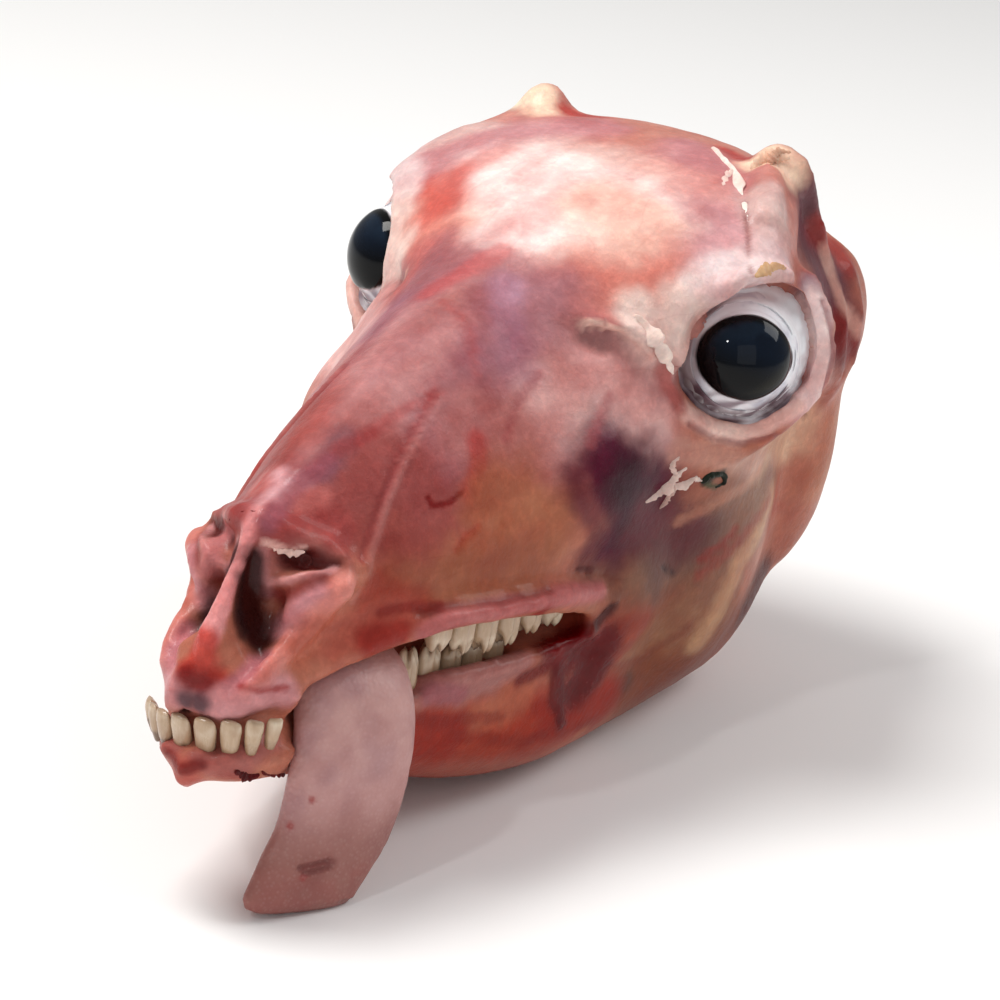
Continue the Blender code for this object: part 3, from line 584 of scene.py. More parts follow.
# Every stroke: points in the 1000 x 1000 frame or mm in the head frame, radius in mm, colour,
# strength, height in mm (groove below 0), wetness, and the sides it is on
skinStrokes = {
    # top of the head
    "crown": (((470, 130), (600, 125), (720, 160)), 26, (195, 130, 120), 0.9, 0, 0, "both"),
    "poll": (((0, 20, 140), (0, 40, 120)), 34, (185, 120, 105), 0.9, 0, 0, "both"),
    "forehead": (((500, 240), (590, 195), (660, 235)), 30, (240, 214, 210), 1.0, 0, 0, "both"),
    "foreheadWarm": (((600, 200), (640, 225)), 13, (240, 200, 180), 0.7, 0, 0, "left"),
    "foreheadLow": (((590, 270), (640, 290)), 13, (240, 190, 170), 0.6, 0, 0, "both"),
    "foreheadEdge": (((415, 150), (400, 215), (425, 260)), 17, (205, 115, 102), 0.9, 0, 0, "both"),
    "foreheadRed": (((418, 190), (440, 180), (445, 200)), 8, (195, 75, 65), 0.75, 0, 0, "right"),
    "foreheadRedStreak": (((500, 150), (450, 190), (420, 225)),
        5, (205, 100, 90), 0.5, 0, 0, "right"),
    "crestMauve": (((690, 150), (720, 200), (730, 250)), 12, (190, 130, 135), 0.9, 0.3, 0, "both"),
    "crestPink": (((660, 170), (700, 185)), 10, (220, 160, 150), 0.6, 0, 0, "left"),
    # bridge and side of the nose
    "bridge": (((520, 310), (450, 375), (380, 430), (310, 470)),
        22, (160, 102, 108), 1.0, 0, 0, "both"),
    # painted highlight: a paler strip along the ridge of the nose bridge
    "bridgeHighlight": (((470, 330), (390, 400), (330, 450)), 8, (200, 145, 142), 0.6, 0, 0.2, "both"),
    "bridgeEdge": (((410, 260), (350, 350), (300, 430)), 8, (190, 100, 95), 0.8, 0, 0, "right"),
    "bridgeRed": (((500, 250), (470, 270), (430, 290)), 4, (190, 80, 80), 0.6, 0, 0, "left"),
    "seamViolet": (((505, 285), (512, 320), (505, 345)), 5, (175, 130, 150), 0.7, -0.3, 0, "left"),
    # painted shade: the hollow below the brow darkened along its shadow line, and darker still in its
    # deepest recess
    "hollowShade": (((585, 340), (640, 345), (672, 380)), 9, (160, 100, 100), 0.9, -2.2, 0, "both"),
    "hollowDeepShade": (((592, 335), (605, 342), (622, 338)), 3.4, (95, 50, 55), 0.8, -1.0, 0, "both"),
    "hollowRim": (((585, 322), (600, 324), (622, 332), (640, 345), (655, 360)),
        1.6, (235, 195, 180), 0.9, 1.0, 0, "both"),
    "sheetViolet": (((505, 350), (460, 410), (420, 480)), 12, (150, 90, 105), 0.8, 0, 0, "both"),
    "cheekPink": (((600, 400), (640, 430), (560, 420)), 17, (210, 155, 152), 0.9, 0, 0, "both"),
    "cheekPale": (((590, 430), (650, 440)), 9, (235, 195, 190), 0.6, 0.3, 0, "both"),
    "maxilla": (((400, 470), (350, 500), (420, 520)), 19, (150, 70, 65), 0.9, 0, 0, "both"),
    "maxillaPink": (((470, 420), (500, 450), (520, 470)), 14, (175, 105, 100), 0.8, 0, 0, "both"),
    "greyStreak": (((320, 470), (345, 440)), 4.5, (120, 80, 90), 0.7, 0, 0, "left"),
    "sheetEdge": (((440, 395), (410, 450), (388, 500), (370, 560), (352, 600)),
        1.3, (210, 150, 145), 0.25, 0.5, 0, "both"),
    "sheetGroove": (((432, 395), (402, 450), (381, 500), (362, 560)),
        1.4, (140, 55, 55), 0.5, -0.5, 0, "both"),
    "redStreakCheek": (((476, 440), (480, 460), (470, 490)), 3.4, (170, 50, 45), 0.7, 0, 0, "left"),
    "scratchOne": (((428, 498), (432, 506), (450, 503), (462, 492)),
        0.9, (120, 15, 15), 0.9, -0.2, 0.6, "left"),
    "scratchTwo": (((478, 528), (466, 538), (458, 550)),
        1.7, (150, 20, 20), 0.95, -0.2, 0.8, "left"),
    "dots": (((502, 524), (504, 526)), 1.0, (150, 50, 42), 0.9, 0, 0.5, "left"),
    "dotTwo": (((511, 521), (513, 522)), 1.0, (150, 50, 42), 0.9, 0, 0.5, "left"),
    # cheek, jaw muscle and bruise
    "bandOrange": (((500, 500), (540, 530), (480, 570)), 13, (170, 100, 70), 0.8, 0, 0, "both"),
    "bandTan": (((400, 590), (480, 585), (540, 560)), 9, (150, 85, 60), 0.7, 0, 0, "both"),
    "bandRed": (((380, 600), (400, 610), (380, 630)), 8, (150, 50, 35), 0.8, 0, 0, "both"),
    "masseter": (((640, 560), (700, 600), (720, 530), (760, 480)),
        24, (125, 85, 65), 0.9, 0, 0, "both"),
    "masseterLow": (((640, 640), (700, 640)), 18, (145, 95, 70), 0.8, 0, 0, "both"),
    "masseterGrey": (((700, 540), (660, 560)), 12, (90, 60, 55), 0.75, 0, 0, "left"),
    "bruise": (((612, 474), (648, 498), (622, 530)), 16, (80, 10, 38), 1.0, 0, 0, "left"),
    "bruiseHeart": (((632, 486), (636, 512)), 11, (50, 4, 26), 0.95, 0, 0, "left"),
    "bruiseFoot": (((640, 520), (690, 536)), 10, (95, 35, 45), 0.8, 0, 0, "left"),
    "mottleBruise": (((580, 480), (590, 520)), 4, (120, 50, 60), 0.4, 0, 0, "left"),
    # lower jaw, gums and blood at the corner
    "jawAngle": (((640, 690), (700, 660), (740, 610)), 18, (125, 62, 38), 0.9, 0, 0, "both"),
    "jawAngleGrey": (((612, 690), (626, 684)), 5, (75, 50, 45), 0.7, 0, 0, "left"),
    "jawAngleRed": (((580, 620), (640, 630), (600, 660)), 8, (145, 50, 35), 0.8, 0, 0, "both"),
    "jawRed": (((420, 740), (480, 735), (540, 725), (600, 705)),
        12, (150, 38, 22), 1.0, 0, 0.1, "both"),
    "jawOrange": (((480, 740), (520, 730)), 7, (180, 70, 42), 0.7, 0, 0.1, "both"),
    "jawPale": (((480, 715), (520, 700)), 6, (190, 115, 85), 0.7, 0, 0, "both"),
    "gum": (((415, 682), (450, 682), (490, 676), (520, 664)),
        6.5, (165, 110, 105), 0.95, 0.3, 0.3, "both"),
    "gumMauve": (((430, 695), (460, 694)), 3.4, (150, 85, 95), 0.7, 0, 0.3, "both"),
    "gumDark": (((545, 650), (570, 640), (590, 632)), 4, (110, 35, 32), 0.8, 0, 0.4, "both"),
    "lipRoll": (((425, 630), (445, 618), (500, 610), (550, 598), (600, 590)),
        3.4, (180, 105, 105), 0.9, 0.8, 0.1, "both"),
    "lipRollRed": (((470, 628), (500, 625), (540, 612)), 3.2, (150, 45, 42), 0.8, 0.2, 0.3, "both"),
    "lipGroove": (((418, 612), (450, 607), (500, 603), (550, 590)),
        1.6, (110, 45, 42), 0.5, -0.8, 0, "both"),
    "lipFrontPink": (((330, 640), (370, 625), (400, 618)), 6, (175, 90, 75), 0.8, 0, 0.1, "both"),
    "lipFrontRed": (((370, 640), (400, 632)), 4, (145, 35, 28), 0.8, 0, 0.2, "both"),
    "cornerBlood": (((575, 640), (590, 660), (575, 690)), 6, (95, 0, 4), 1.0, -0.8, 1.0, "left"),
    "cornerDrip": (((560, 660), (563, 690), (560, 720)), 2.2, (90, 5, 8), 1.0, 0.2, 1.0, "left"),
    # painted shade in the corner of the mouth, where the lips meet
    "cornerShade": (((600, 622), (612, 610)), 3, (60, 5, 8), 0.9, -1.0, 0.9, "both"),
    "scratchJaw": (((578, 568), (592, 570)), 1.0, (80, 20, 18), 0.9, -0.2, 0, "left"),
    "redCheekStreak": (((700, 560), (722, 545), (735, 530)),
        1.8, (140, 40, 32), 0.7, -0.4, 0, "left"),
    "creamCheek": (((700, 640), (740, 560), (770, 500)), 6, (210, 165, 125), 0.55, 0.3, 0, "both"),
    "neckRed": (((745, 610), (760, 580), (720, 670)), 7, (80, 10, 10), 0.9, 0, 0.5, "left"),
    # temple, brow and lids
    "temple": (((800, 215), (830, 290), (840, 330)), 16, (92, 55, 68), 0.9, 0, 0, "both"),
    "templeRedOne": (((818, 228), (835, 245), (848, 262)), 5, (150, 55, 50), 0.85, 0, 0.2, "both"),
    "templeRedTwo": (((838, 320), (850, 345), (836, 355)), 5.5, (125, 35, 32), 0.9, 0, 0.2, "both"),
    "templeCream": (((826, 250), (842, 300), (858, 330)), 3, (215, 170, 155), 0.7, 0.4, 0, "both"),
    "templeBlue": (((812, 290), (822, 320)), 5, (100, 70, 95), 0.8, -0.4, 0, "both"),
    "rearOrange": (((850, 380), (835, 430), (820, 470)), 10, (170, 100, 70), 0.9, 0, 0, "both"),
    "rearRed": (((806, 372), (815, 395), (808, 410)), 6, (165, 50, 45), 0.85, 0, 0.3, "both"),
    "underEyeCream": (((765, 450), (800, 430), (840, 420)), 9, (215, 175, 145), 0.7, 0, 0, "both"),
    "stumpGrey": (((760, 195), (770, 230)), 8, (205, 170, 165), 0.9, 1.0, 0.1, "both"),
    "browWhite": (((700, 290), (740, 268), (780, 262)), 8, (225, 202, 202), 0.9, 0, 0.1, "both"),
    "browCream": (((640, 320), (670, 340), (680, 310)), 9, (232, 205, 196), 0.9, 0.6, 0, "both"),
    "seamBrow": (((745, 205), (748, 240), (751, 272)), 0.9, (130, 65, 60), 0.6, -0.6, 0, "left"),
    "stumpTop": (((755, 165), (775, 155), (790, 170)), 6, (240, 215, 190), 1.0, 0, 0, "both"),
    "stumpRed": (((728, 150), (745, 158)), 4, (170, 60, 55), 0.9, -0.4, 0.2, "both"),
    "rimRight": (((817, 300), (826, 340), (815, 385), (795, 408)),
        5, (240, 215, 212), 0.85, 0, 0.2, "both"),
    "rimLower": (((690, 412), (712, 426), (740, 432), (770, 425), (795, 408)),
        3.6, (230, 190, 180), 0.9, 0.3, 0.3, "both"),
    "lidFoldOne": (((690, 424), (714, 438), (742, 443), (775, 436), (805, 415)),
        1.1, (140, 80, 78), 0.6, -0.7, 0, "both"),
    "lidFoldTwo": (((824, 300), (834, 340), (824, 390)), 1.2, (140, 85, 90), 0.6, -0.7, 0, "both"),
    "innerCorner": (((668, 372), (676, 390), (682, 404)), 3, (165, 75, 70), 0.7, 0, 0.2, "both"),
    "underEyeFibres": (((680, 450), (720, 455), (760, 462)),
        5, (195, 145, 130), 0.6, 0.2, 0, "left"),
    # nose, pad and chin
    "noseTop": (((262, 505), (272, 480)), 5, (235, 190, 195), 0.8, 0, 0.3, "both"),
    "septum": (((258, 515), (242, 555), (226, 600), (212, 635)),
        2.6, (225, 150, 150), 0.95, 0.6, 0.8, "both"),
    "septumFoot": (((208, 640), (205, 665), (215, 680)), 3.4, (185, 60, 50), 0.9, 0.3, 0.8, "both"),
    "alarMottled": (((280, 520), (310, 510), (335, 530)), 7, (150, 60, 58), 0.9, 0.6, 0.2, "both"),
    "alarPink": (((300, 500), (320, 495)), 4.5, (190, 110, 105), 0.7, 0, 0, "both"),
    "tornEdge": (((264, 540), (278, 544), (290, 550), (304, 549)),
        1.3, (235, 185, 175), 0.9, 1.2, 0.3, "left"),
    # painted shade inside the slot under the torn edge of the nose
    "noseSlotShade": (((290, 556), (312, 558), (332, 566)), 3.0, (75, 5, 8), 0.9, -2.4, 0.6, "both"),
    "curl": (((262, 552), (262, 575), (266, 590)), 2.4, (215, 150, 150), 0.9, 0.8, 0.6, "both"),
    "whiteRidge": (((270, 582), (290, 580), (312, 575), (335, 568)),
        1.3, (215, 150, 150), 0.7, 1.0, 0.5, "both"),
    "wrinkleRed": (((280, 595), (300, 592), (325, 582)), 3, (130, 40, 42), 0.8, -0.5, 0.4, "both"),
    "glossPink": (((278, 625), (300, 610), (320, 600)), 4, (205, 140, 145), 0.9, -0.3, 0.7, "both"),
    "lipBand": (((345, 585), (310, 620), (275, 660), (246, 688)),
        4, (210, 130, 120), 0.9, 1.0, 0.5, "both"),
    "lipBandOrange": (((330, 620), (300, 650)), 5, (175, 90, 70), 0.8, 0, 0.3, "both"),
    "gutter": (((262, 655), (245, 672), (230, 686)), 2.6, (190, 120, 128), 0.9, -1.2, 0.9, "both"),
    # painted shade: the nostril opening is a near-black patch on unbroken skin
    "nostrilHoleShade": (((252, 560), (250, 600), (258, 640)), 5, (40, 0, 4), 0.95, 0, 0.7, "both"),
    "nostrilGrey": (((240, 580), (238, 610), (242, 632)), 2.4, (30, 18, 22), 0.8, 0, 0.7, "left"),
    "padPink": (((200, 700), (240, 708), (280, 695)), 5.5, (205, 145, 148), 0.95, 0.3, 0.5, "both"),
    "padVein": (((240, 686), (262, 690), (286, 688)), 1.0, (150, 35, 32), 0.7, 0, 0.5, "left"),
    "padRed": (((185, 672), (200, 682)), 3.6, (120, 25, 25), 0.9, -0.3, 0.7, "both"),
    "padGrey": (((186, 700), (196, 702)), 3.0, (60, 42, 52), 0.85, 0, 0.6, "both"),
    # painted shade inside a small hole in the pad
    "padHoleShade": (((186, 712),), 1.4, (20, 14, 18), 0.95, -1.2, 0.4, "left"),
    "farFold": (((208, 570), (215, 545), (222, 525)), 3, (195, 120, 120), 0.9, 0, 0.4, "right"),
    "lowerLip": (((160, 740), (200, 758), (240, 760), (270, 740)),
        4, (160, 90, 85), 0.9, 0, 0.4, "both"),
    "chin": (((180, 770), (190, 785)), 4.5, (175, 85, 75), 0.9, 0, 0.2, "both"),
    "chinRed": (((182, 768), (200, 765)), 2.0, (110, 20, 20), 0.8, 0, 0.3, "both"),
    # underside
    "underJaw": (((0, -60, 0), (0, -130, 8)), 30, (150, 60, 45), 0.8, 0, 0, "both"),
    "throat": (((0, 0, 0), (0, 20, 20)), 26, (150, 80, 62), 0.7, 0, 0, "both"),
    "nape": (((30, 30, 60), (30, 30, 90)), 14, (165, 90, 70), 0.6, 0, 0, "both"),
    # marks and streaks over the rest
    "bruiseEdge": (((572, 470), (575, 505), (600, 540)), 3.0, (85, 25, 42), 0.5, 0, 0, "left"),
    "blackMark": (((704, 482), (713, 476), (722, 472)), 1.5, (18, 26, 18), 0.95, 0.3, 0.5, "left"),
    "blackMarkFoot": (((706, 484), (716, 486)), 1.0, (60, 66, 40), 0.9, 0.2, 0.5, "left"),
    "slit": (((662, 566), (668, 571), (674, 572)), 0.9, (50, 12, 12), 0.9, -0.3, 0.4, "left"),
    "streakOne": (((360, 440), (400, 410), (440, 392)), 1.8, (160, 65, 65), 0.55, 0, 0.2, "left"),
    "streakTwo": (((300, 480), (330, 455), (372, 432)), 2.2, (150, 60, 60), 0.6, 0, 0.2, "left"),
    "streakThree": (((440, 300), (470, 330), (476, 372)), 1.6, (175, 85, 85), 0.5, 0, 0, "left"),
    "streakFour": (((540, 372), (520, 400), (505, 440)), 1.5, (150, 65, 70), 0.5, 0, 0, "left"),
    "streakFive": (((610, 395), (598, 420), (590, 445)), 1.8, (160, 75, 80), 0.5, 0, 0, "left"),
    "jawStreakOne": (((380, 700), (430, 722), (500, 716)), 2.2, (125, 25, 15), 0.6, 0, 0.3, "left"),
    "jawStreakTwo": (((450, 735), (520, 742), (590, 722)),
        2.4, (125, 28, 18), 0.55, 0, 0.2, "left"),
    "jawStreakThree": (((600, 672), (640, 660), (690, 625)), 2.0, (115, 45, 32), 0.5, 0, 0, "left"),
    "jawPaleTwo": (((580, 735), (630, 712), (668, 690)), 4.0, (195, 130, 95), 0.5, 0, 0, "left"),
    "masseterStreak": (((680, 520), (720, 500), (760, 470)),
        2.6, (185, 125, 100), 0.6, 0.2, 0, "left"),
    "masseterRed": (((700, 575), (735, 545), (768, 500)), 2.4, (140, 45, 35), 0.6, 0, 0.2, "left"),
    "lowNoseRed": (((255, 470), (262, 440), (290, 410)), 3.0, (165, 60, 58), 0.6, 0, 0.2, "left"),
    "noseMauve": (((270, 520), (300, 480), (330, 462)), 3.0, (140, 80, 95), 0.6, 0, 0.2, "left"),
    "cornerMass": (((562, 652), (585, 656), (604, 640), (590, 682)),
        7, (95, 0, 4), 1.0, 0, 0.9, "left"),
    "bloodDrip": (((556, 668), (554, 700), (562, 724)), 2.6, (95, 0, 4), 0.9, 0.3, 1.0, "left"),
    "gumBlood": (((520, 680), (545, 668), (560, 655)), 3.0, (110, 12, 12), 0.85, 0, 0.8, "left"),
    "lipBlood": (((380, 612), (410, 606), (440, 606)), 1.6, (125, 25, 22), 0.7, 0, 0.5, "left"),
}


# The outline of the eye opening seen along the gaze: turn and distance, sorted by turn
def lidOutline():
    centre, gaze = np.array(eyeShape["centre"]), unit(eyeShape["gaze"])
    edge = onBall(eyeOpening, centre, eyeShape["radius"] + eyeShape["lidGap"]) - centre
    level = unit(np.cross((0, 0, 1), gaze))
    rise = np.cross(gaze, level)
    turn = np.arctan2(edge @ rise, edge @ level)
    order = np.argsort(turn)
    wide = np.hypot(edge @ rise, edge @ level)
    return centre, gaze, level, rise, turn[order], wide[order]


def strokeKnots(where):  # photo points are put on the skin, mm points stay
    return onTree(headTree, where) if len(where[0]) == 2 else np.array(where, float)


# Pushes the skin in front of the eyeball out to the outline of the opening, on both sides
def widenLids(points):
    centre, gaze, level, rise, turn, wide = lidOutline()
    sign = np.where(points[:, 0] < 0, -1.0, 1.0)[:, None] * np.array((1, 0, 0)) + np.array((0, 1, 1))
    local = points * sign - centre
    deep = local @ gaze
    a, b = local @ level, local @ rise
    r = np.hypot(a, b)
    edgeAt = np.interp(np.arctan2(b, a), turn, wide, period=2 * math.pi)
    edgeAt = edgeAt + 0.5 * layeredNoise(points, 4.5, 71, 2) * (b > -4)
    far = np.linalg.norm(local, axis=1)
    inside = (deep > 3.5) & (r < edgeAt) & (far > eyeShape["radius"] - 1.0) & (far < 40)
    push = np.where(inside, (edgeAt - r) * 0.97, 0)
    step = (a / np.maximum(r, 1e-6))[:, None] * level + (b / np.maximum(r, 1e-6))[:, None] * rise
    return points + push[:, None] * step * sign


# Lids widened, then every stroke blended in by smoothStep((1.25 - far / radius) / 0.9) strength
# and raised by height exp(-2.2 (far / radius)^2), then streaks and blotches over all
def workSkin(mesh):
    points = relax(mesh, meshPoints(mesh), 3)
    points = widenLids(points)
    setPoints(mesh, points)
    normals = meshNormals(mesh)
    wide, fine = skin["warpCells"]
    warp = np.stack([layeredNoise(points, wide, 11 + 7 * k) for k in range(3)], 1)
    fineWarp = np.stack([layeredNoise(points, fine, 41 + 7 * k, 2) for k in range(3)], 1)
    colours = np.tile(linear(skin["base"]), (len(points), 1))
    wet = np.full(len(points), skin["wet"])
    lift = np.zeros(len(points))
    fold = points.copy()
    fold[:, 0] = np.abs(fold[:, 0])
    for name, (where, radius, colour, strength, height, wetness, sides) in skinStrokes.items():
        knots = strokeKnots(where)
        if not len(knots):
            print("stroke misses the head:", name)
            continue
        if sides == "both":
            knots[:, 0] = np.abs(knots[:, 0])
        place = fold if sides == "both" else points
        soft = min(1.0, radius / 8.0)
        wander = warp * skin["warp"][0] * soft * (1 + radius / 12) + fineWarp * skin["warp"][1] * soft
        far = reach(place + wander, knots) / radius
        share = smoothStep((1.25 - far) / 0.9) * strength
        colours = blend(colours, colour, share[:, None])
        wet += (wetness - wet) * share * (wetness > 0)
        if height:
            lift += height * np.exp(-2.2 * far**2)
    lift += skin["roughness"] * layeredNoise(points, skin["roughCell"], 77)
    streak = layeredNoise(points * np.array(skin["streakStretch"]), skin["streakCell"], 55, 4)
    blotch = layeredNoise(points, skin["blotchCell"], 56, 4)
    streaks = skin["streaks"] * streak[:, None] * np.array((0.5, 1.0, 1.0))
    blotches = skin["blotches"] * blotch[:, None] * np.array((0.4, 1.0, 1.0))
    colours *= 1 + streaks + blotches
    points = points + normals * lift[:, None]
    points = np.where(onCut(points, 0.6)[:, None], points - normals * lift[:, None] * 0.8, points)
    colours, wet = neckCutLook(points, colours, wet)
    setPoints(mesh, points)
    giveColour(mesh, "skinColour", colours)
    giveValue(mesh, "wet", wet)


neckCut = {
    "place": (0.0, 47.0, 90.0),
    "normal": (0.0, 1.0, -0.10),
    "muscle": (150, 48, 44),
    "muscleDark": (112, 30, 32),
    "fat": (228, 194, 166),
    "bone": (224, 204, 178),
    "boneRing": (8.0, 15.0),  # mm from the middle of the spinal opening
    "seam": 0.07,
    "muscleCell": 19,
    "bend": (7, 15),  # mm, cell
    "wobble": (5, 14),
    "wet": 0.6,
}


def onCut(points, depth):  # within depth of the cut plane
    normal = unit(neckCut["normal"])
    return (points - np.array(neckCut["place"])) @ normal > -depth


# Muscles as bent noise cells round a ring of bone, with seams of fat where the noise is near 0
def neckCutLook(points, colours, wet):
    flat = points - np.array(neckCut["place"])
    face = onCut(points, 1.6)
    r = np.hypot(flat[:, 0], flat[:, 2] * 0.8)
    wobble = layeredNoise(points, neckCut["wobble"][1], 91) * neckCut["wobble"][0]
    size, cell = neckCut["bend"]
    bend = np.stack([softNoise(points, cell, 95 + k) for k in range(3)], 1) * size
    turned = (points + bend) @ np.array(((0.8, 0, -0.6), (0, 0.2, 0), (0.6, 0, 0.8)))
    cells = layeredNoise(turned, neckCut["muscleCell"], 92, 2)
    dark = smoothStep(cells + 0.5)[:, None]
    look = blend(linear(neckCut["muscle"]), neckCut["muscleDark"], dark)
    seam = smoothStep(1 - np.abs(cells) / neckCut["seam"])[:, None]
    look = blend(look, neckCut["fat"], seam * 0.85)
    low, high = neckCut["boneRing"]
    ring = smoothStep((high - r - wobble * 0.3) / 1.5) * smoothStep((r - low + 1.5) / 1.5)
    look = blend(look, neckCut["bone"], ring[:, None])
    colours = np.where(face[:, None], look, colours)
    return colours, np.where(face, neckCut["wet"], wet)


workSkin(headMesh)
print("skin shaped and painted:", len(headMesh.polygons), "faces")
head = showPiece(headMesh, wetFlesh("wetFlesh", fleshLook), ["head"])


# Eyes


eyeLook = {
    "sclera": (250, 250, 255),
    "scleraBlue": (190, 190, 206),
    "fold": (170, 156, 160),
    "foldBrown": (112, 84, 96),
    "iris": (12, 22, 36),
    # painted reflection: a lighter colour over the top of the dark cornea
    "irisReflection": (30, 44, 60),
    "irisRim": (6, 7, 9),
    "irisEdge": (40, 38, 28),
    "halfWide": 12.2,  # mm, cornea across
    "halfTall": 9.8,
    "cloud": 0.25,
    "cloudColour": (0.6, 0.5, 0.55),
    "rough": (0.25, 0.06),  # white, cornea
    "bump": 0.12,
    "bumpDepth": 0.0004,
    "ior": 1.22,
    "coat": 0.08,
}


# Ball r(a, b) = radius + cornea bulge + folds, round its gaze. b runs from the gaze back
def eyeForm(side):
    gaze = unit(np.array(eyeShape["gaze"]) * (side, 1, 1))
    centre = np.array(eyeShape["centre"]) * (side, 1, 1)
    level = unit(np.cross((0, 0, 1), gaze)) * side  # points to the rear corner
    rise = unit(np.cross(gaze, level)) * side
    rows, sides = 110, 160
    b = np.linspace(0.006, 1, rows)[:, None] * (math.pi - 0.02)
    a = np.linspace(0, 2 * math.pi, sides, endpoint=False)[None]
    ray = (
        np.cos(b)[..., None] * gaze
        + (np.sin(b) * np.cos(a))[..., None] * level
        + (np.sin(b) * np.sin(a))[..., None] * rise
    )
    radius = eyeShape["radius"]
    flatA = radius * np.sin(b) * np.cos(a)
    flatB = radius * np.sin(b) * np.sin(a)
    front = np.cos(b) > 0
    wide = eyeLook["halfWide"]
    tall = eyeLook["halfTall"] * (1 - 0.22 * smoothStep(flatA / wide))
    span = (np.abs(flatA / wide) ** 2.1 + np.abs(flatB / tall) ** 2.1) ** (1 / 2.1)
    span = np.where(front, span, 9.0)
    facing = np.cos(b) + 0 * a
    swell = np.clip((facing - 0.74) / 0.26, 0, 1) ** 0.7
    grow = eyeShape["bulge"] * swell - 0.35 * np.exp(-((span - 1.04) / 0.05) ** 2)
    low = smoothStep((-flatB - 7) / 4) * front
    nose = smoothStep((-flatA - 9) / 4) * front
    wave = softNoise(ray.reshape(-1, 3), 0.25, 5).reshape(ray.shape[:2])
    fold = np.sin((flatB * 0.5 - flatA * 0.35) * 2.2 + 2 * wave)
    grow += 0.12 * fold * np.maximum(low, nose)
    rings = centre + ray * (radius + grow)[..., None]
    verts, faces = closedForm(rings)
    return verts, faces, span, flatA, flatB, fold, low, nose


# White with folds below and in the inner corner; iris inside span 0.86, its rim up to 1.03
def eyeColours(span, flatA, flatB, fold, low, nose, points):
    colours = np.tile(linear(eyeLook["sclera"]), (span.size, 1)).reshape(*span.shape, 3)
    rough = layeredNoise(points, 4.0, 61).reshape(span.shape)
    dark = smoothStep((1.03 - span) / 0.05)
    inner = smoothStep((0.86 - span) / 0.12)
    # painted reflection: the upper part of the cornea lightened, broken up by noise
    reflectionMask = smoothStep((flatB - 2) / 4) * smoothStep((rough + 0.6) / 0.8)
    for part, share in (
        ("scleraBlue", smoothStep((rough + 0.2) / 0.8) * 0.7),
        ("fold", smoothStep((-flatA - 8) / 5) * 0.8),
        ("foldBrown", low * 0.8 * smoothStep(0.5 + 0.5 * fold)),
        ("fold", nose * 0.5 * smoothStep(0.5 - 0.5 * fold)),
        ("irisRim", dark),
        ("iris", inner * smoothStep((flatB + flatA * 0.3 + 5) / 8)),
        ("irisReflection", inner * 0.5 * reflectionMask),
        ("irisEdge", inner * 0.6 * smoothStep((-flatB + flatA - 6) / 5)),
    ):
        colours = blend(colours, eyeLook[part], np.clip(share, 0, 1)[..., None])
    return colours.reshape(-1, 3), dark.reshape(-1)


def eyeMaterial():
    material, tree, shader, coords, base = paintedTree("wetEye")
    clouds = noiseNode(tree, coords, 160.0, 4.0, 0.6)
    span = (0.4, 0.7, 0.0, eyeLook["cloud"])
    shade = stainNode(tree, clouds.outputs["Fac"], span, base, eyeLook["cloudColour"])
    tree.links.new(shade, shader.inputs["Base Color"])
    dark = addNode(tree, "ShaderNodeAttribute", attribute_name="dark").outputs["Fac"]
    rough = rangeNode(tree, dark, 0.0, 1.0, *eyeLook["rough"])
    tree.links.new(rough, shader.inputs["Roughness"])
    bump = bumpNode(tree, clouds.outputs["Fac"], eyeLook["bump"], eyeLook["bumpDepth"])
    tree.links.new(bump.outputs[0], shader.inputs["Normal"])
    setInputs(shader, {
        "IOR": eyeLook["ior"],
        "Coat Weight": eyeLook["coat"],
        "Coat Roughness": 0.03,
        "Subsurface Weight": 0.05,
        "Subsurface Radius": (0.002, 0.001, 0.001),
        "Subsurface Scale": 1.0,
    })
    return material


lidBagLook = {
    "innerAngle": 50.0,
    "overlap": 1.6,  # mm under the skin
    "dip": 1.6,
    "folds": (0.9, 4.2),  # mm, cell
    "ripple": 0.35,
    "thick": 1.2,
    "pale": (248, 248, 252),
    "grey": (175, 160, 166),
    "brown": (104, 68, 82),
    "dark": (44, 34, 40),
}


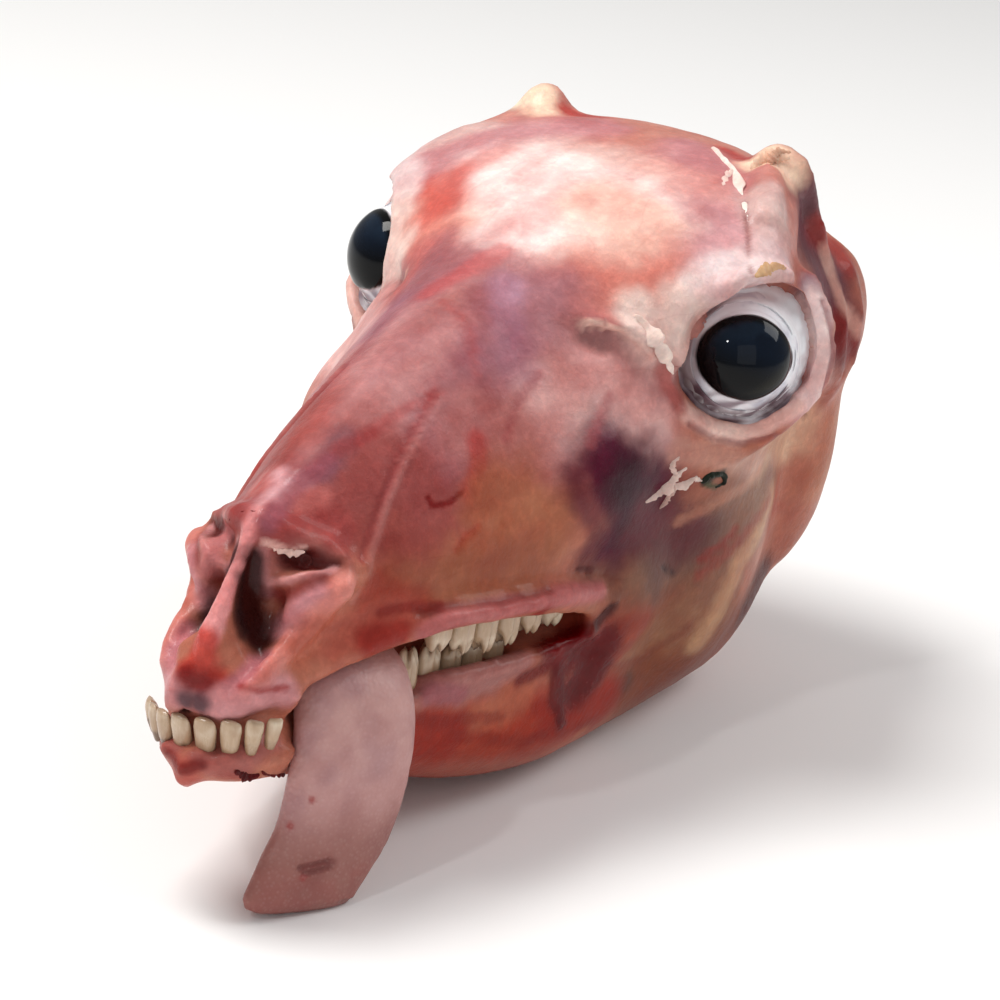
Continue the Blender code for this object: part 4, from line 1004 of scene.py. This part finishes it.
# Closed ring between eyeball and lids: its front dips and folds, its back lies under it
def lidBag(side, rows=120):
    centre, gaze, level, rise, turn, wide = lidOutline()
    outer = eyeShape["radius"] + eyeShape["lidGap"]
    a = np.linspace(-math.pi, math.pi, rows, endpoint=False)
    edgeAt = np.interp(a, turn, wide, period=2 * math.pi)
    out = np.cos(a)[:, None] * level + np.sin(a)[:, None] * rise
    inner = math.radians(lidBagLook["innerAngle"])
    innerR = (eyeShape["radius"] + 0.15) * math.sin(inner)
    innerD = (eyeShape["radius"] + 0.15) * math.cos(inner)
    outerD = np.sqrt(np.maximum(outer**2 - np.minimum(edgeAt, outer - 0.5) ** 2, 1.0))
    outerD -= eyeShape["lidGap"]
    t = np.linspace(0, 1, 18)
    look = lidBagLook
    r = innerR + (edgeAt[:, None] + look["overlap"] - innerR) * t
    d = innerD + (outerD[:, None] - innerD) * t - look["dip"] * np.sin(t * math.pi)
    seedPoints = np.stack((r * np.cos(a)[:, None], r * np.sin(a)[:, None], d), -1).reshape(-1, 3)
    high, cell = look["folds"]
    fold = layeredNoise(seedPoints * np.array((1, 1, 0.4)), cell, 501, 3).reshape(r.shape)
    d = d + high * fold * np.sin(t * math.pi) + look["ripple"] * np.sin(14 * t + 3 * fold)
    front = centre + out[:, None] * r[..., None] + gaze * d[..., None]
    back = centre + out[:, None] * r[:, ::-3, None] + gaze * (d[:, ::-3, None] - look["thick"])
    rings = np.concatenate((front, back), 1)
    colours = np.tile(linear(look["pale"]), (rings.shape[0], rings.shape[1], 1))
    fullFold = np.concatenate((fold, fold[:, ::-3]), 1)[..., None]
    low = smoothStep((-np.sin(a) - 0.1) / 0.5)[:, None, None]
    nose = smoothStep((-np.cos(a) - 0.1) / 0.5)[:, None, None]
    colours = blend(colours, look["grey"], np.broadcast_to(nose * 0.9, fullFold.shape))
    colours = blend(colours, look["brown"], low * 0.85 * smoothStep(fullFold * 1.2 + 0.6))
    colours = blend(colours, look["dark"], nose * smoothStep(fullFold * 1.5 - 0.1) * 0.8)
    form = rings.reshape(-1, 3), joinedEnds(*rings.shape[:2])
    return (form if side > 0 else mirrored(form)), colours.reshape(-1, 3)


eyeFinish = eyeMaterial()
for side, word in ((1, "left"), (-1, "right")):
    form, colours = lidBag(side)
    mesh = rawMesh("lidBag_" + word, [form])
    giveColour(mesh, "skinColour", colours)
    giveValue(mesh, "dark", np.full(len(colours), 0.2))
    outward(mesh)
    showPiece(mesh, eyeFinish)
for side, word in ((1, "left"), (-1, "right")):
    verts, faces, span, flatA, flatB, fold, low, nose = eyeForm(side)
    mesh = rawMesh("eyeball_" + word, [(verts, faces)])
    colours, dark = eyeColours(span, flatA, flatB, fold, low, nose, verts[:span.size])
    colours = np.concatenate((colours, colours[:1], colours[-1:]))
    dark = np.concatenate((dark, dark[:1], dark[-1:]))
    giveColour(mesh, "skinColour", colours)
    giveValue(mesh, "dark", dark)
    outward(mesh)
    showPiece(mesh, eyeFinish, ["eye_" + word])
print("eyes made")


# Teeth

teeth = {
    "enamel": (190, 162, 132),
    "enamelPale": (225, 208, 184),
    "stain": (92, 62, 40),
    "rootStain": (150, 112, 78),
    "darkFoot": (0.15, 0.75),  # left, right incisors
    "cheekFoot": 0.2,
    "arcCentre": (0.0, -176.0),
    "arcRadius": 21.5,
    "rootZ": 30.3,
    "tilt": 0.20,
    "smile": 0.012,
    "incisors": ((8.2, 5.4, 10.8), (23.5, 4.9, 9.8), (37.0, 4.2, 8.8), (49.0, 3.6, 7.8)),
    "incisorThick": 3.4,
    "upperRow": ((25.0, -137.0, 58.0), (31.0, -92.5, 53.0)),
    "lowerRow": ((19.4, -139.5, 33.0), (24.6, -107.5, 32.0)),
    "upperThick": 6.2,
    "lowerThick": 5.0,
    "upperHeight": 12.8,
    "lowerHeight": 12.0,
    "line": 0.5,
    "lineColour": (0.62, 0.44, 0.34),
    "rough": (0.22, 0.42),
    "bump": 0.25,
    "bumpDepth": 0.0003,
    "coat": 0.5,
}


# Spade: half width w(t) and depth d(t) up a leaning axis, its section a soft rectangle
def incisorForm(order, side, levels=22, sides=28):
    turn, width, tall = teeth["incisors"][order]
    angle = math.radians(turn)
    out = np.array((math.sin(angle), -math.cos(angle), 0))
    across = np.array((math.cos(angle), math.sin(angle), 0))
    rise = unit(np.array((0, 0, 1)) + out * 0.35)
    front = np.cross(across, rise)
    root = np.append(np.array(teeth["arcCentre"]), 0) + out * (teeth["arcRadius"] - 2.5)
    root[2] = teeth["rootZ"] + teeth["tilt"] * root[0] * side + teeth["smile"] * root[0] ** 2
    t = np.linspace(0, 1, levels)[:, None]
    wide = np.interp(t, (0, 0.35, 0.75, 0.94, 1), (0.62, 0.86, 1.0, 0.93, 0.72)) * width / 2
    deep = np.interp(t, (0, 0.35, 0.75, 0.94, 1), (0.9, 1.0, 0.8, 0.5, 0.28))
    deep = deep * teeth["incisorThick"] / 2
    a = np.linspace(0, 2 * math.pi, sides, endpoint=False)[None]
    c, s = np.cos(a), np.sin(a)
    x = np.sign(c) * np.abs(c) ** 0.75 * wide
    y = np.sign(s) * np.abs(s) ** 0.85 * deep
    y = y + 0.18 * np.cos(c * 3.2) * (s > 0) * t
    z = tall * (t + 0.02 * np.cos(2.2 * c + order) * (t > 0.9))
    rings = root + x[..., None] * across + y[..., None] * front + z[..., None] * rise
    verts, faces = closedForm(rings)
    levelOf = np.append(np.repeat(t[:, 0], sides), (0, 1))
    form = verts, faces
    return (form if side > 0 else mirrored(form)), levelOf


# Two lobes round an upright axis, worn to cusps: z = h t + 0.11 h t cos(6 c) near the top
def cheekForm(jaw, order, side, levels=20, sides=36):
    count = 6 if jaw == "upper" else 5
    first, last = (np.array(p) for p in teeth[jaw + "Row"])
    pitch = np.linalg.norm(last - first) / (count - 1)
    middle = first + (last - first) * order / (count - 1)
    along = unit(last - first)
    rise = np.array((0, 0, -1 if jaw == "upper" else 1))
    out = unit(np.cross(rise, along))
    longHalf = (pitch - 1.0) / 2
    thickHalf = teeth[jaw + "Thick"] / 2
    tall = teeth[jaw + "Height"] - (1.2 * abs(order - 2) if jaw == "upper" else 0.4 * order)
    tall += 0.5 * (order % 2)
    t = np.linspace(0, 1, levels)[:, None]
    swell = np.interp(t, (0, 0.35, 0.78, 0.93, 1), (0.9, 1.0, 0.94, 0.74, 0.5))
    a = np.linspace(0, 2 * math.pi, sides, endpoint=False)[None]
    c, s = np.cos(a), np.sin(a)
    lobe = 1.0 - 0.20 * np.exp(-((c / 0.18) ** 2))
    lobe = lobe - 0.07 * np.exp(-(((np.abs(c) - 0.62) / 0.10) ** 2))
    high = smoothStep((t - 0.6) / 0.4)
    z = tall * t + 0.11 * tall * high * np.cos(6.0 * c + order)
    x = c * longHalf * swell
    y = s * thickHalf * lobe * swell
    rings = middle + x[..., None] * along + y[..., None] * out + z[..., None] * rise
    verts, faces = closedForm(rings)
    levelOf = np.append(np.repeat(t[:, 0], sides), (0, 1))
    form = verts, faces
    return (form if side > 0 else mirrored(form)), levelOf


def toothMaterial():
    material, tree, shader, coords, base = paintedTree("enamel")
    lines = noiseNode(tree, coords, 500.0, 4.0, 0.6, (1.0, 1.0, 0.25)).outputs["Fac"]
    span = (0.45, 0.75, 0.0, teeth["line"])
    tree.links.new(stainNode(tree, lines, span, base, teeth["lineColour"]), shader.inputs["Base Color"])
    rough = rangeNode(tree, lines, 0.3, 0.7, *teeth["rough"])
    tree.links.new(rough, shader.inputs["Roughness"])
    bump = bumpNode(tree, lines, teeth["bump"], teeth["bumpDepth"])
    tree.links.new(bump.outputs[0], shader.inputs["Normal"])
    setInputs(shader, {"Coat Weight": teeth["coat"], "Coat Roughness": 0.12})
    return material


# Enamel pale towards the edge, stained at the root and the worn top. levelOf runs 0 to 1
def toothPiece(name, form, levelOf, darkFoot, seed):
    points = form[0]
    colours = np.tile(linear(teeth["enamel"]), (len(points), 1))
    rough = layeredNoise(points, 3.0, 200 + seed)
    pale = smoothStep((levelOf - 0.5) / 0.4) * smoothStep((rough + 0.3) / 0.8)
    for part, share in (
        ("enamelPale", pale * 0.8),
        ("rootStain", smoothStep((0.35 - levelOf) / 0.35) * 0.7),
        ("stain", smoothStep((0.42 - levelOf + rough * 0.25) / 0.12) * darkFoot),
        ("stain", smoothStep((levelOf - 0.93) / 0.07) * 0.25),
    ):
        colours = blend(colours, teeth[part], share[:, None])
    mesh = rawMesh(name + "_crown", [form])
    giveColour(mesh, "skinColour", colours)
    outward(mesh)
    showPiece(mesh, enamel, [name])


enamel = toothMaterial()
for side, word in ((1, "left"), (-1, "right")):
    for order in range(4):
        form, levelOf = incisorForm(order, side)
        toothPiece(f"incisor_{word}_{order + 1}", form, levelOf, teeth["darkFoot"][side < 0], order)
    for jaw, count in (("upper", 6), ("lower", 5)):
        for order in range(count):
            form, levelOf = cheekForm(jaw, order, side)
            name = f"{jaw}_tooth_{word}_{order + 1}"
            toothPiece(name, form, levelOf, teeth["cheekFoot"], 10 + order)
print("teeth made")


# Tongue

tongue = {
    "line": (  # middle, width, thickness
        (5.0, -142.0, 44.5, 14, 9), (9.5, -150.0, 45.5, 20, 10), (15.5, -158.5, 45.0, 27, 11),
        (20.0, -163.0, 40.0, 30, 11.5), (22.0, -164.5, 32.0, 31, 11.5), (22.3, -165.5, 22.0, 31, 11),
        (22.0, -168.0, 11.5, 30.5, 10.5), (21.3, -172.5, 4.5, 30, 9.5), (20.4, -177.5, -3.0, 28.5, 8),
    ),
    "tip": ((1.7, 0.93, 0.8), (1.2, 0.72, 0.45), (0.5, 0.45, 0.22)),
    "across": (0.46, 0.888, 0.0),
    "fold": 5,
    "mauve": (190, 140, 136),
    "pale": (206, 162, 156),
    "brown": (138, 76, 62),
    "violet": (150, 104, 112),
    "tipRed": (158, 74, 66),
    "cut": (120, 50, 44),
    "cuts": (((300, 868), (331, 860)), ((304, 873), (331, 866))),
    "redDots": ((303, 878), (290, 826), (312, 800)),
    "redDot": (150, 40, 36),
    "budScale": 900.0,
    "bud": 0.12,
    "budColour": (0.72, 0.50, 0.46),
    "blotch": 0.45,
    "blotchColour": (0.62, 0.40, 0.40),
    "rough": (0.40, 0.58),
    "bump": 0.30,
    "bumpDepth": 0.0004,
    "coat": 0.12,
}


# A flat bar along a bent line: c^0.8 across and s^0.9 through, its sections turned level
def tongueForm(rows=150, sides=96):
    line = curveThrough(np.array(tongue["line"]), rows)
    path, wide, thick = line[:, :3], line[:, 3], line[:, 4]
    place = np.linspace(0, len(tongue["line"]) - 1, rows)
    tipWay = unit(unit(path[-1] - path[-2]) + np.array((0, 0, -1)))
    for step, wideShare, thickShare in tongue["tip"]:
        path = np.concatenate((path, [path[-1] + tipWay * step]))
        wide = np.append(wide, tongue["line"][-1][3] * wideShare)
        thick = np.append(thick, tongue["line"][-1][4] * thickShare)
        place = np.append(place, place[-1] + 0.1)
    way = unit(np.gradient(path, axis=0))
    hang = np.clip(place - tongue["fold"], 0, 1)[:, None] * 0.75
    way = unit(way * (1 - hang) + np.array((0, 0, -1)) * hang)
    across = unit(tongue["across"])
    across = unit(across - way * (way @ across)[:, None])
    face = np.cross(across, way)
    a = np.linspace(0, 2 * math.pi, sides, endpoint=False)[None]
    c, s = np.cos(a), np.sin(a)
    flat = np.sign(c) * np.abs(c) ** 0.8 * wide[:, None] / 2
    deep = np.sign(s) * np.abs(s) ** 0.9 * thick[:, None] / 2
    rings = path[:, None] + flat[..., None] * across[:, None] + deep[..., None] * face[:, None]
    return closedForm(rings)


def tongueMaterial():
    material, tree, shader, coords, base = paintedTree("tongueSkin")
    buds = addNode(tree, "ShaderNodeTexVoronoi", [(coords, "Vector")])
    setInputs(buds, {"Scale": tongue["budScale"]})
    blotch = noiseNode(tree, coords, 90.0, 4.0, 0.6).outputs["Fac"]
    bud = rangeNode(tree, buds.outputs["Distance"], 0.0, 0.45, tongue["bud"], 0.0)
    shade = mixNode(tree, bud, base, (*tongue["budColour"], 1), "MIX")
    span = (0.4, 0.7, 0.0, tongue["blotch"])
    shade = stainNode(tree, blotch, span, shade, tongue["blotchColour"])
    tree.links.new(shade, shader.inputs["Base Color"])
    rough = rangeNode(tree, blotch, 0.3, 0.7, *tongue["rough"])
    tree.links.new(rough, shader.inputs["Roughness"])
    bump = bumpNode(tree, buds.outputs["Distance"], tongue["bump"], tongue["bumpDepth"])
    bump.invert = True
    tree.links.new(bump.outputs[0], shader.inputs["Normal"])
    setInputs(shader, {
        "Subsurface Weight": 0.12,
        "Subsurface Radius": (0.003, 0.0012, 0.0008),
        "Subsurface Scale": 1.0,
        "Coat Weight": tongue["coat"],
        "Coat Roughness": 0.3,
    })
    return material


# Colour by height above the floor and noise; cuts are grooves -0.8 exp(-(far / 0.55)^2)
def makeTongue():
    form = tongueForm()
    mesh = rawMesh("tongueFlesh", [form])
    outward(mesh)
    points, normals = meshPoints(mesh), meshNormals(mesh)
    tree = meshTree(mesh)
    down = smoothStep((40 - points[:, 2]) / 42)
    colours = np.tile(linear(tongue["mauve"]), (len(points), 1))
    rough = layeredNoise(points, 9.0, 300)
    fine = layeredNoise(points, 3.0, 310)
    lift = 0.12 * fine - 0.05
    for part, share in (
        ("pale", smoothStep((0.4 - down) / 0.5) * 0.6),
        ("violet", smoothStep((rough + 0.1) / 0.6) * 0.45),
        ("brown", smoothStep((down - 0.35) / 0.6) * 0.75),
        ("tipRed", smoothStep((down - 0.86) / 0.14) * 0.35 * smoothStep(fine + 0.6)),
    ):
        colours = blend(colours, tongue[part], share[:, None])
    for pixels in tongue["cuts"]:
        far = reach(points, onTree(tree, pixels))
        colours = blend(colours, tongue["cut"], (smoothStep((1.4 - far) / 0.9) * 0.8)[:, None])
        lift += -0.8 * np.exp(-((far / 0.55) ** 2)) + 0.3 * np.exp(-(((far - 1.1) / 0.5) ** 2))
    for pixel in tongue["redDots"]:
        far = reach(points, onTree(tree, (pixel,)))
        colours = blend(colours, tongue["redDot"], (smoothStep((1.3 - far) / 0.9) * 0.8)[:, None])
    setPoints(mesh, points + normals * lift[:, None])
    giveColour(mesh, "skinColour", colours)
    showPiece(mesh, tongueMaterial(), ["tongue"])


makeTongue()
print("tongue made")


# Rags: thin torn strips of membrane, and dark scraps that hang under the lower lip

rags = {  # points in the 1000 x 1000 frame, radii in mm, mm off the skin, colour
    "crestStrip": (((712, 148), (722, 160), (733, 172), (738, 188), (743, 205), (748, 216)),
        (0.5, 1.3, 1.0, 1.6, 1.0, 0.3), 0.4, (250, 235, 225)),
    "crestTag": (((733, 172), (726, 178), (722, 188)), (1.0, 0.8, 0.3), 0.5, (240, 215, 205)),
    "hornTag": (((752, 168), (762, 160), (774, 156), (788, 158)),
        (0.6, 1.6, 1.8, 0.5), 1.4, (235, 205, 180)),
    "hornTagTwo": (((770, 160), (778, 152), (790, 152)), (1.4, 1.2, 0.3), 2.4, (215, 175, 150)),
    "browRag": (((636, 316), (648, 328), (658, 344), (667, 360), (673, 374)),
        (0.5, 1.3, 1.9, 1.3, 0.3), 0.3, (240, 220, 210)),
    "browTag": (((756, 276), (770, 268), (786, 268)), (0.5, 1.4, 0.4), 0.6, (205, 165, 125)),
    "bruiseRagOne": (((646, 502), (657, 494), (667, 486), (676, 475), (686, 468)),
        (0.3, 1.0, 1.7, 1.2, 0.3), 0.3, (220, 195, 185)),
    "bruiseRagTwo": (((660, 508), (667, 498), (671, 488)), (0.3, 0.9, 1.2), 0.3, (205, 175, 165)),
    "bruiseRagThree": (((670, 487), (683, 485), (694, 479), (702, 481)),
        (1.1, 1.1, 0.8, 0.3), 0.4, (225, 200, 190)),
    "bruiseRagFour": (((676, 475), (672, 465), (679, 457)), (0.9, 0.8, 0.3), 0.4, (215, 185, 175)),
    "darkShred": (((702, 482), (710, 475), (722, 474), (724, 482), (716, 487)),
        (0.5, 0.8, 0.7, 0.6, 0.3), 0.5, (25, 32, 22)),
    "noseStrand": (((230, 520), (242, 513), (256, 512), (272, 508)),
        (0.3, 0.4, 0.4, 0.3), 0.4, (110, 15, 18)),
    "slotTag": (((262, 541), (276, 545), (290, 552), (304, 552)),
        (0.4, 1.1, 1.0, 0.4), 0.5, (235, 200, 190)),
    "lipScrapOne": (((236, 772), (246, 776), (258, 775)), (0.5, 1.2, 0.5), 0.5, (75, 8, 10)),
    "lipScrapTwo": (((262, 772), (272, 777), (284, 774)), (0.5, 1.0, 0.4), 0.5, (85, 12, 12)),
}


ragShape = {"points": 30, "ragged": 0.45, "flat": 0.30, "longestStep": 14, "wet": 0.6}


# Flat tube with radius r(s) (1 + ragged noise(s)), its flat side to the camera
def ragForm(order, knots, radii, off):
    near = unit(np.array(camera["place"]) - knots)
    knots = knots + near * off
    count = ragShape["points"]
    spread = curveThrough(np.asarray(radii, float)[:len(knots), None], count)[:, 0]
    steps = np.stack((np.arange(count) * 0.6, spread * 0, spread * 0), 1)
    ragged = spread * (1 + ragShape["ragged"] * softNoise(steps, 1.0, 300 + order))
    return tube(curveThrough(knots, count), ragged, 12, 40, ragShape["flat"], near.mean(0))


def longestStep(knots):  # mm between neighbours
    return np.linalg.norm(np.diff(knots, axis=0), axis=1).max()


ragForms, ragColours = [], []
for order, (name, (where, radii, off, colour)) in enumerate(rags.items()):
    knots = onTree(headTree, where)
    if len(knots) < 2 or longestStep(knots) > ragShape["longestStep"]:
        print("strip misses the head:", name)
        continue
    form = ragForm(order, knots, radii, off)
    ragForms.append(form)
    tone = 1 + 0.25 * layeredNoise(form[0], 1.5, 400 + order, 2)[:, None]
    ragColours.append(np.clip(linear(colour) * tone, 0, 1))
ragMesh = rawMesh("tornStrips", ragForms)
giveColour(ragMesh, "skinColour", np.concatenate(ragColours))
giveValue(ragMesh, "wet", np.full(len(ragMesh.vertices), ragShape["wet"]))
outward(ragMesh)
showPiece(ragMesh, head.data.materials[0])
print("torn strips made:", len(ragForms))


# Floor, lights, camera

studio = {
    "aim": (0.0, -0.02, 0.07),
    "floorHalf": 4.0,  # m
    "floorRough": 0.9,
    "floorColour": (0.93, 0.93, 0.93, 1),
    "worldColour": (1.0, 0.99, 0.98, 1),
    "world": 0.34,
    "key": {"place": (-0.50, -0.20, 1.25), "size": 0.55, "power": 15.0, "colour": (1.0, 0.98, 0.95)},
    "fill": {"place": (0.9, -0.9, 0.55), "size": 0.9, "power": 1.5, "colour": (0.96, 0.98, 1.0)},
    "rim": {"place": (0.7, 0.7, 0.9), "size": 0.6, "power": 5.0, "colour": (1.0, 1.0, 1.0)},
    "spark": {"place": (-0.1, -1.0, 0.95), "size": 0.06, "power": 1.6, "colour": (1.0, 1.0, 1.0)},
}


# A pale floor and world, four area lights aimed at the head, the photo's camera
def setUpStudio():
    scene = bpy.context.scene
    scene.view_settings.view_transform = "Standard"
    bm = bmesh.new()
    bmesh.ops.create_grid(bm, x_segments=1, y_segments=1, size=studio["floorHalf"])
    mesh = bpy.data.meshes.new("floor")
    bm.to_mesh(mesh)
    bm.free()
    floor = bpy.data.objects.new("floor", mesh)
    scene.collection.objects.link(floor)
    material, _, shader = nodeTree("paleFloor")
    setInputs(shader, {"Base Color": studio["floorColour"], "Roughness": studio["floorRough"]})
    mesh.materials.append(material)
    floor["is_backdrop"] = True
    world = bpy.data.worlds.new("studio")
    scene.world = world
    world.use_nodes = True
    back = world.node_tree.nodes["Background"]
    setInputs(back, {"Color": studio["worldColour"], "Strength": studio["world"]})
    for name in ("key", "fill", "rim", "spark"):
        light = studio[name]
        lamp = bpy.data.lights.new(name, "AREA")
        lamp.size = light["size"]
        lamp.energy = light["power"]
        lamp.color = light["colour"]
        holder = bpy.data.objects.new(name, lamp)
        scene.collection.objects.link(holder)
        place = Vector(light["place"])
        aim = Vector(studio["aim"]) - place
        turned = aim.to_track_quat("-Z", "Y").to_matrix().to_4x4()
        holder.matrix_world = Matrix.Translation(place) @ turned
    lens = bpy.data.cameras.new("photoCamera")
    lens.lens = camera["lens"]
    lens.sensor_width = camera["sensor"]
    lens.clip_start = 0.01
    lens.clip_end = 20
    holder = bpy.data.objects.new("photoCamera", lens)
    scene.collection.objects.link(holder)
    right, down, view = (headTurn @ np.array(camera[k]) for k in ("right", "down", "view"))
    place = toWorld(camera["place"])
    pose = Matrix.Identity(4)
    for i in range(3):
        pose[i][0], pose[i][1], pose[i][2], pose[i][3] = right[i], -down[i], -view[i], place[i]
    holder.matrix_world = pose
    scene.camera = holder


setUpStudio()

low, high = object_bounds()
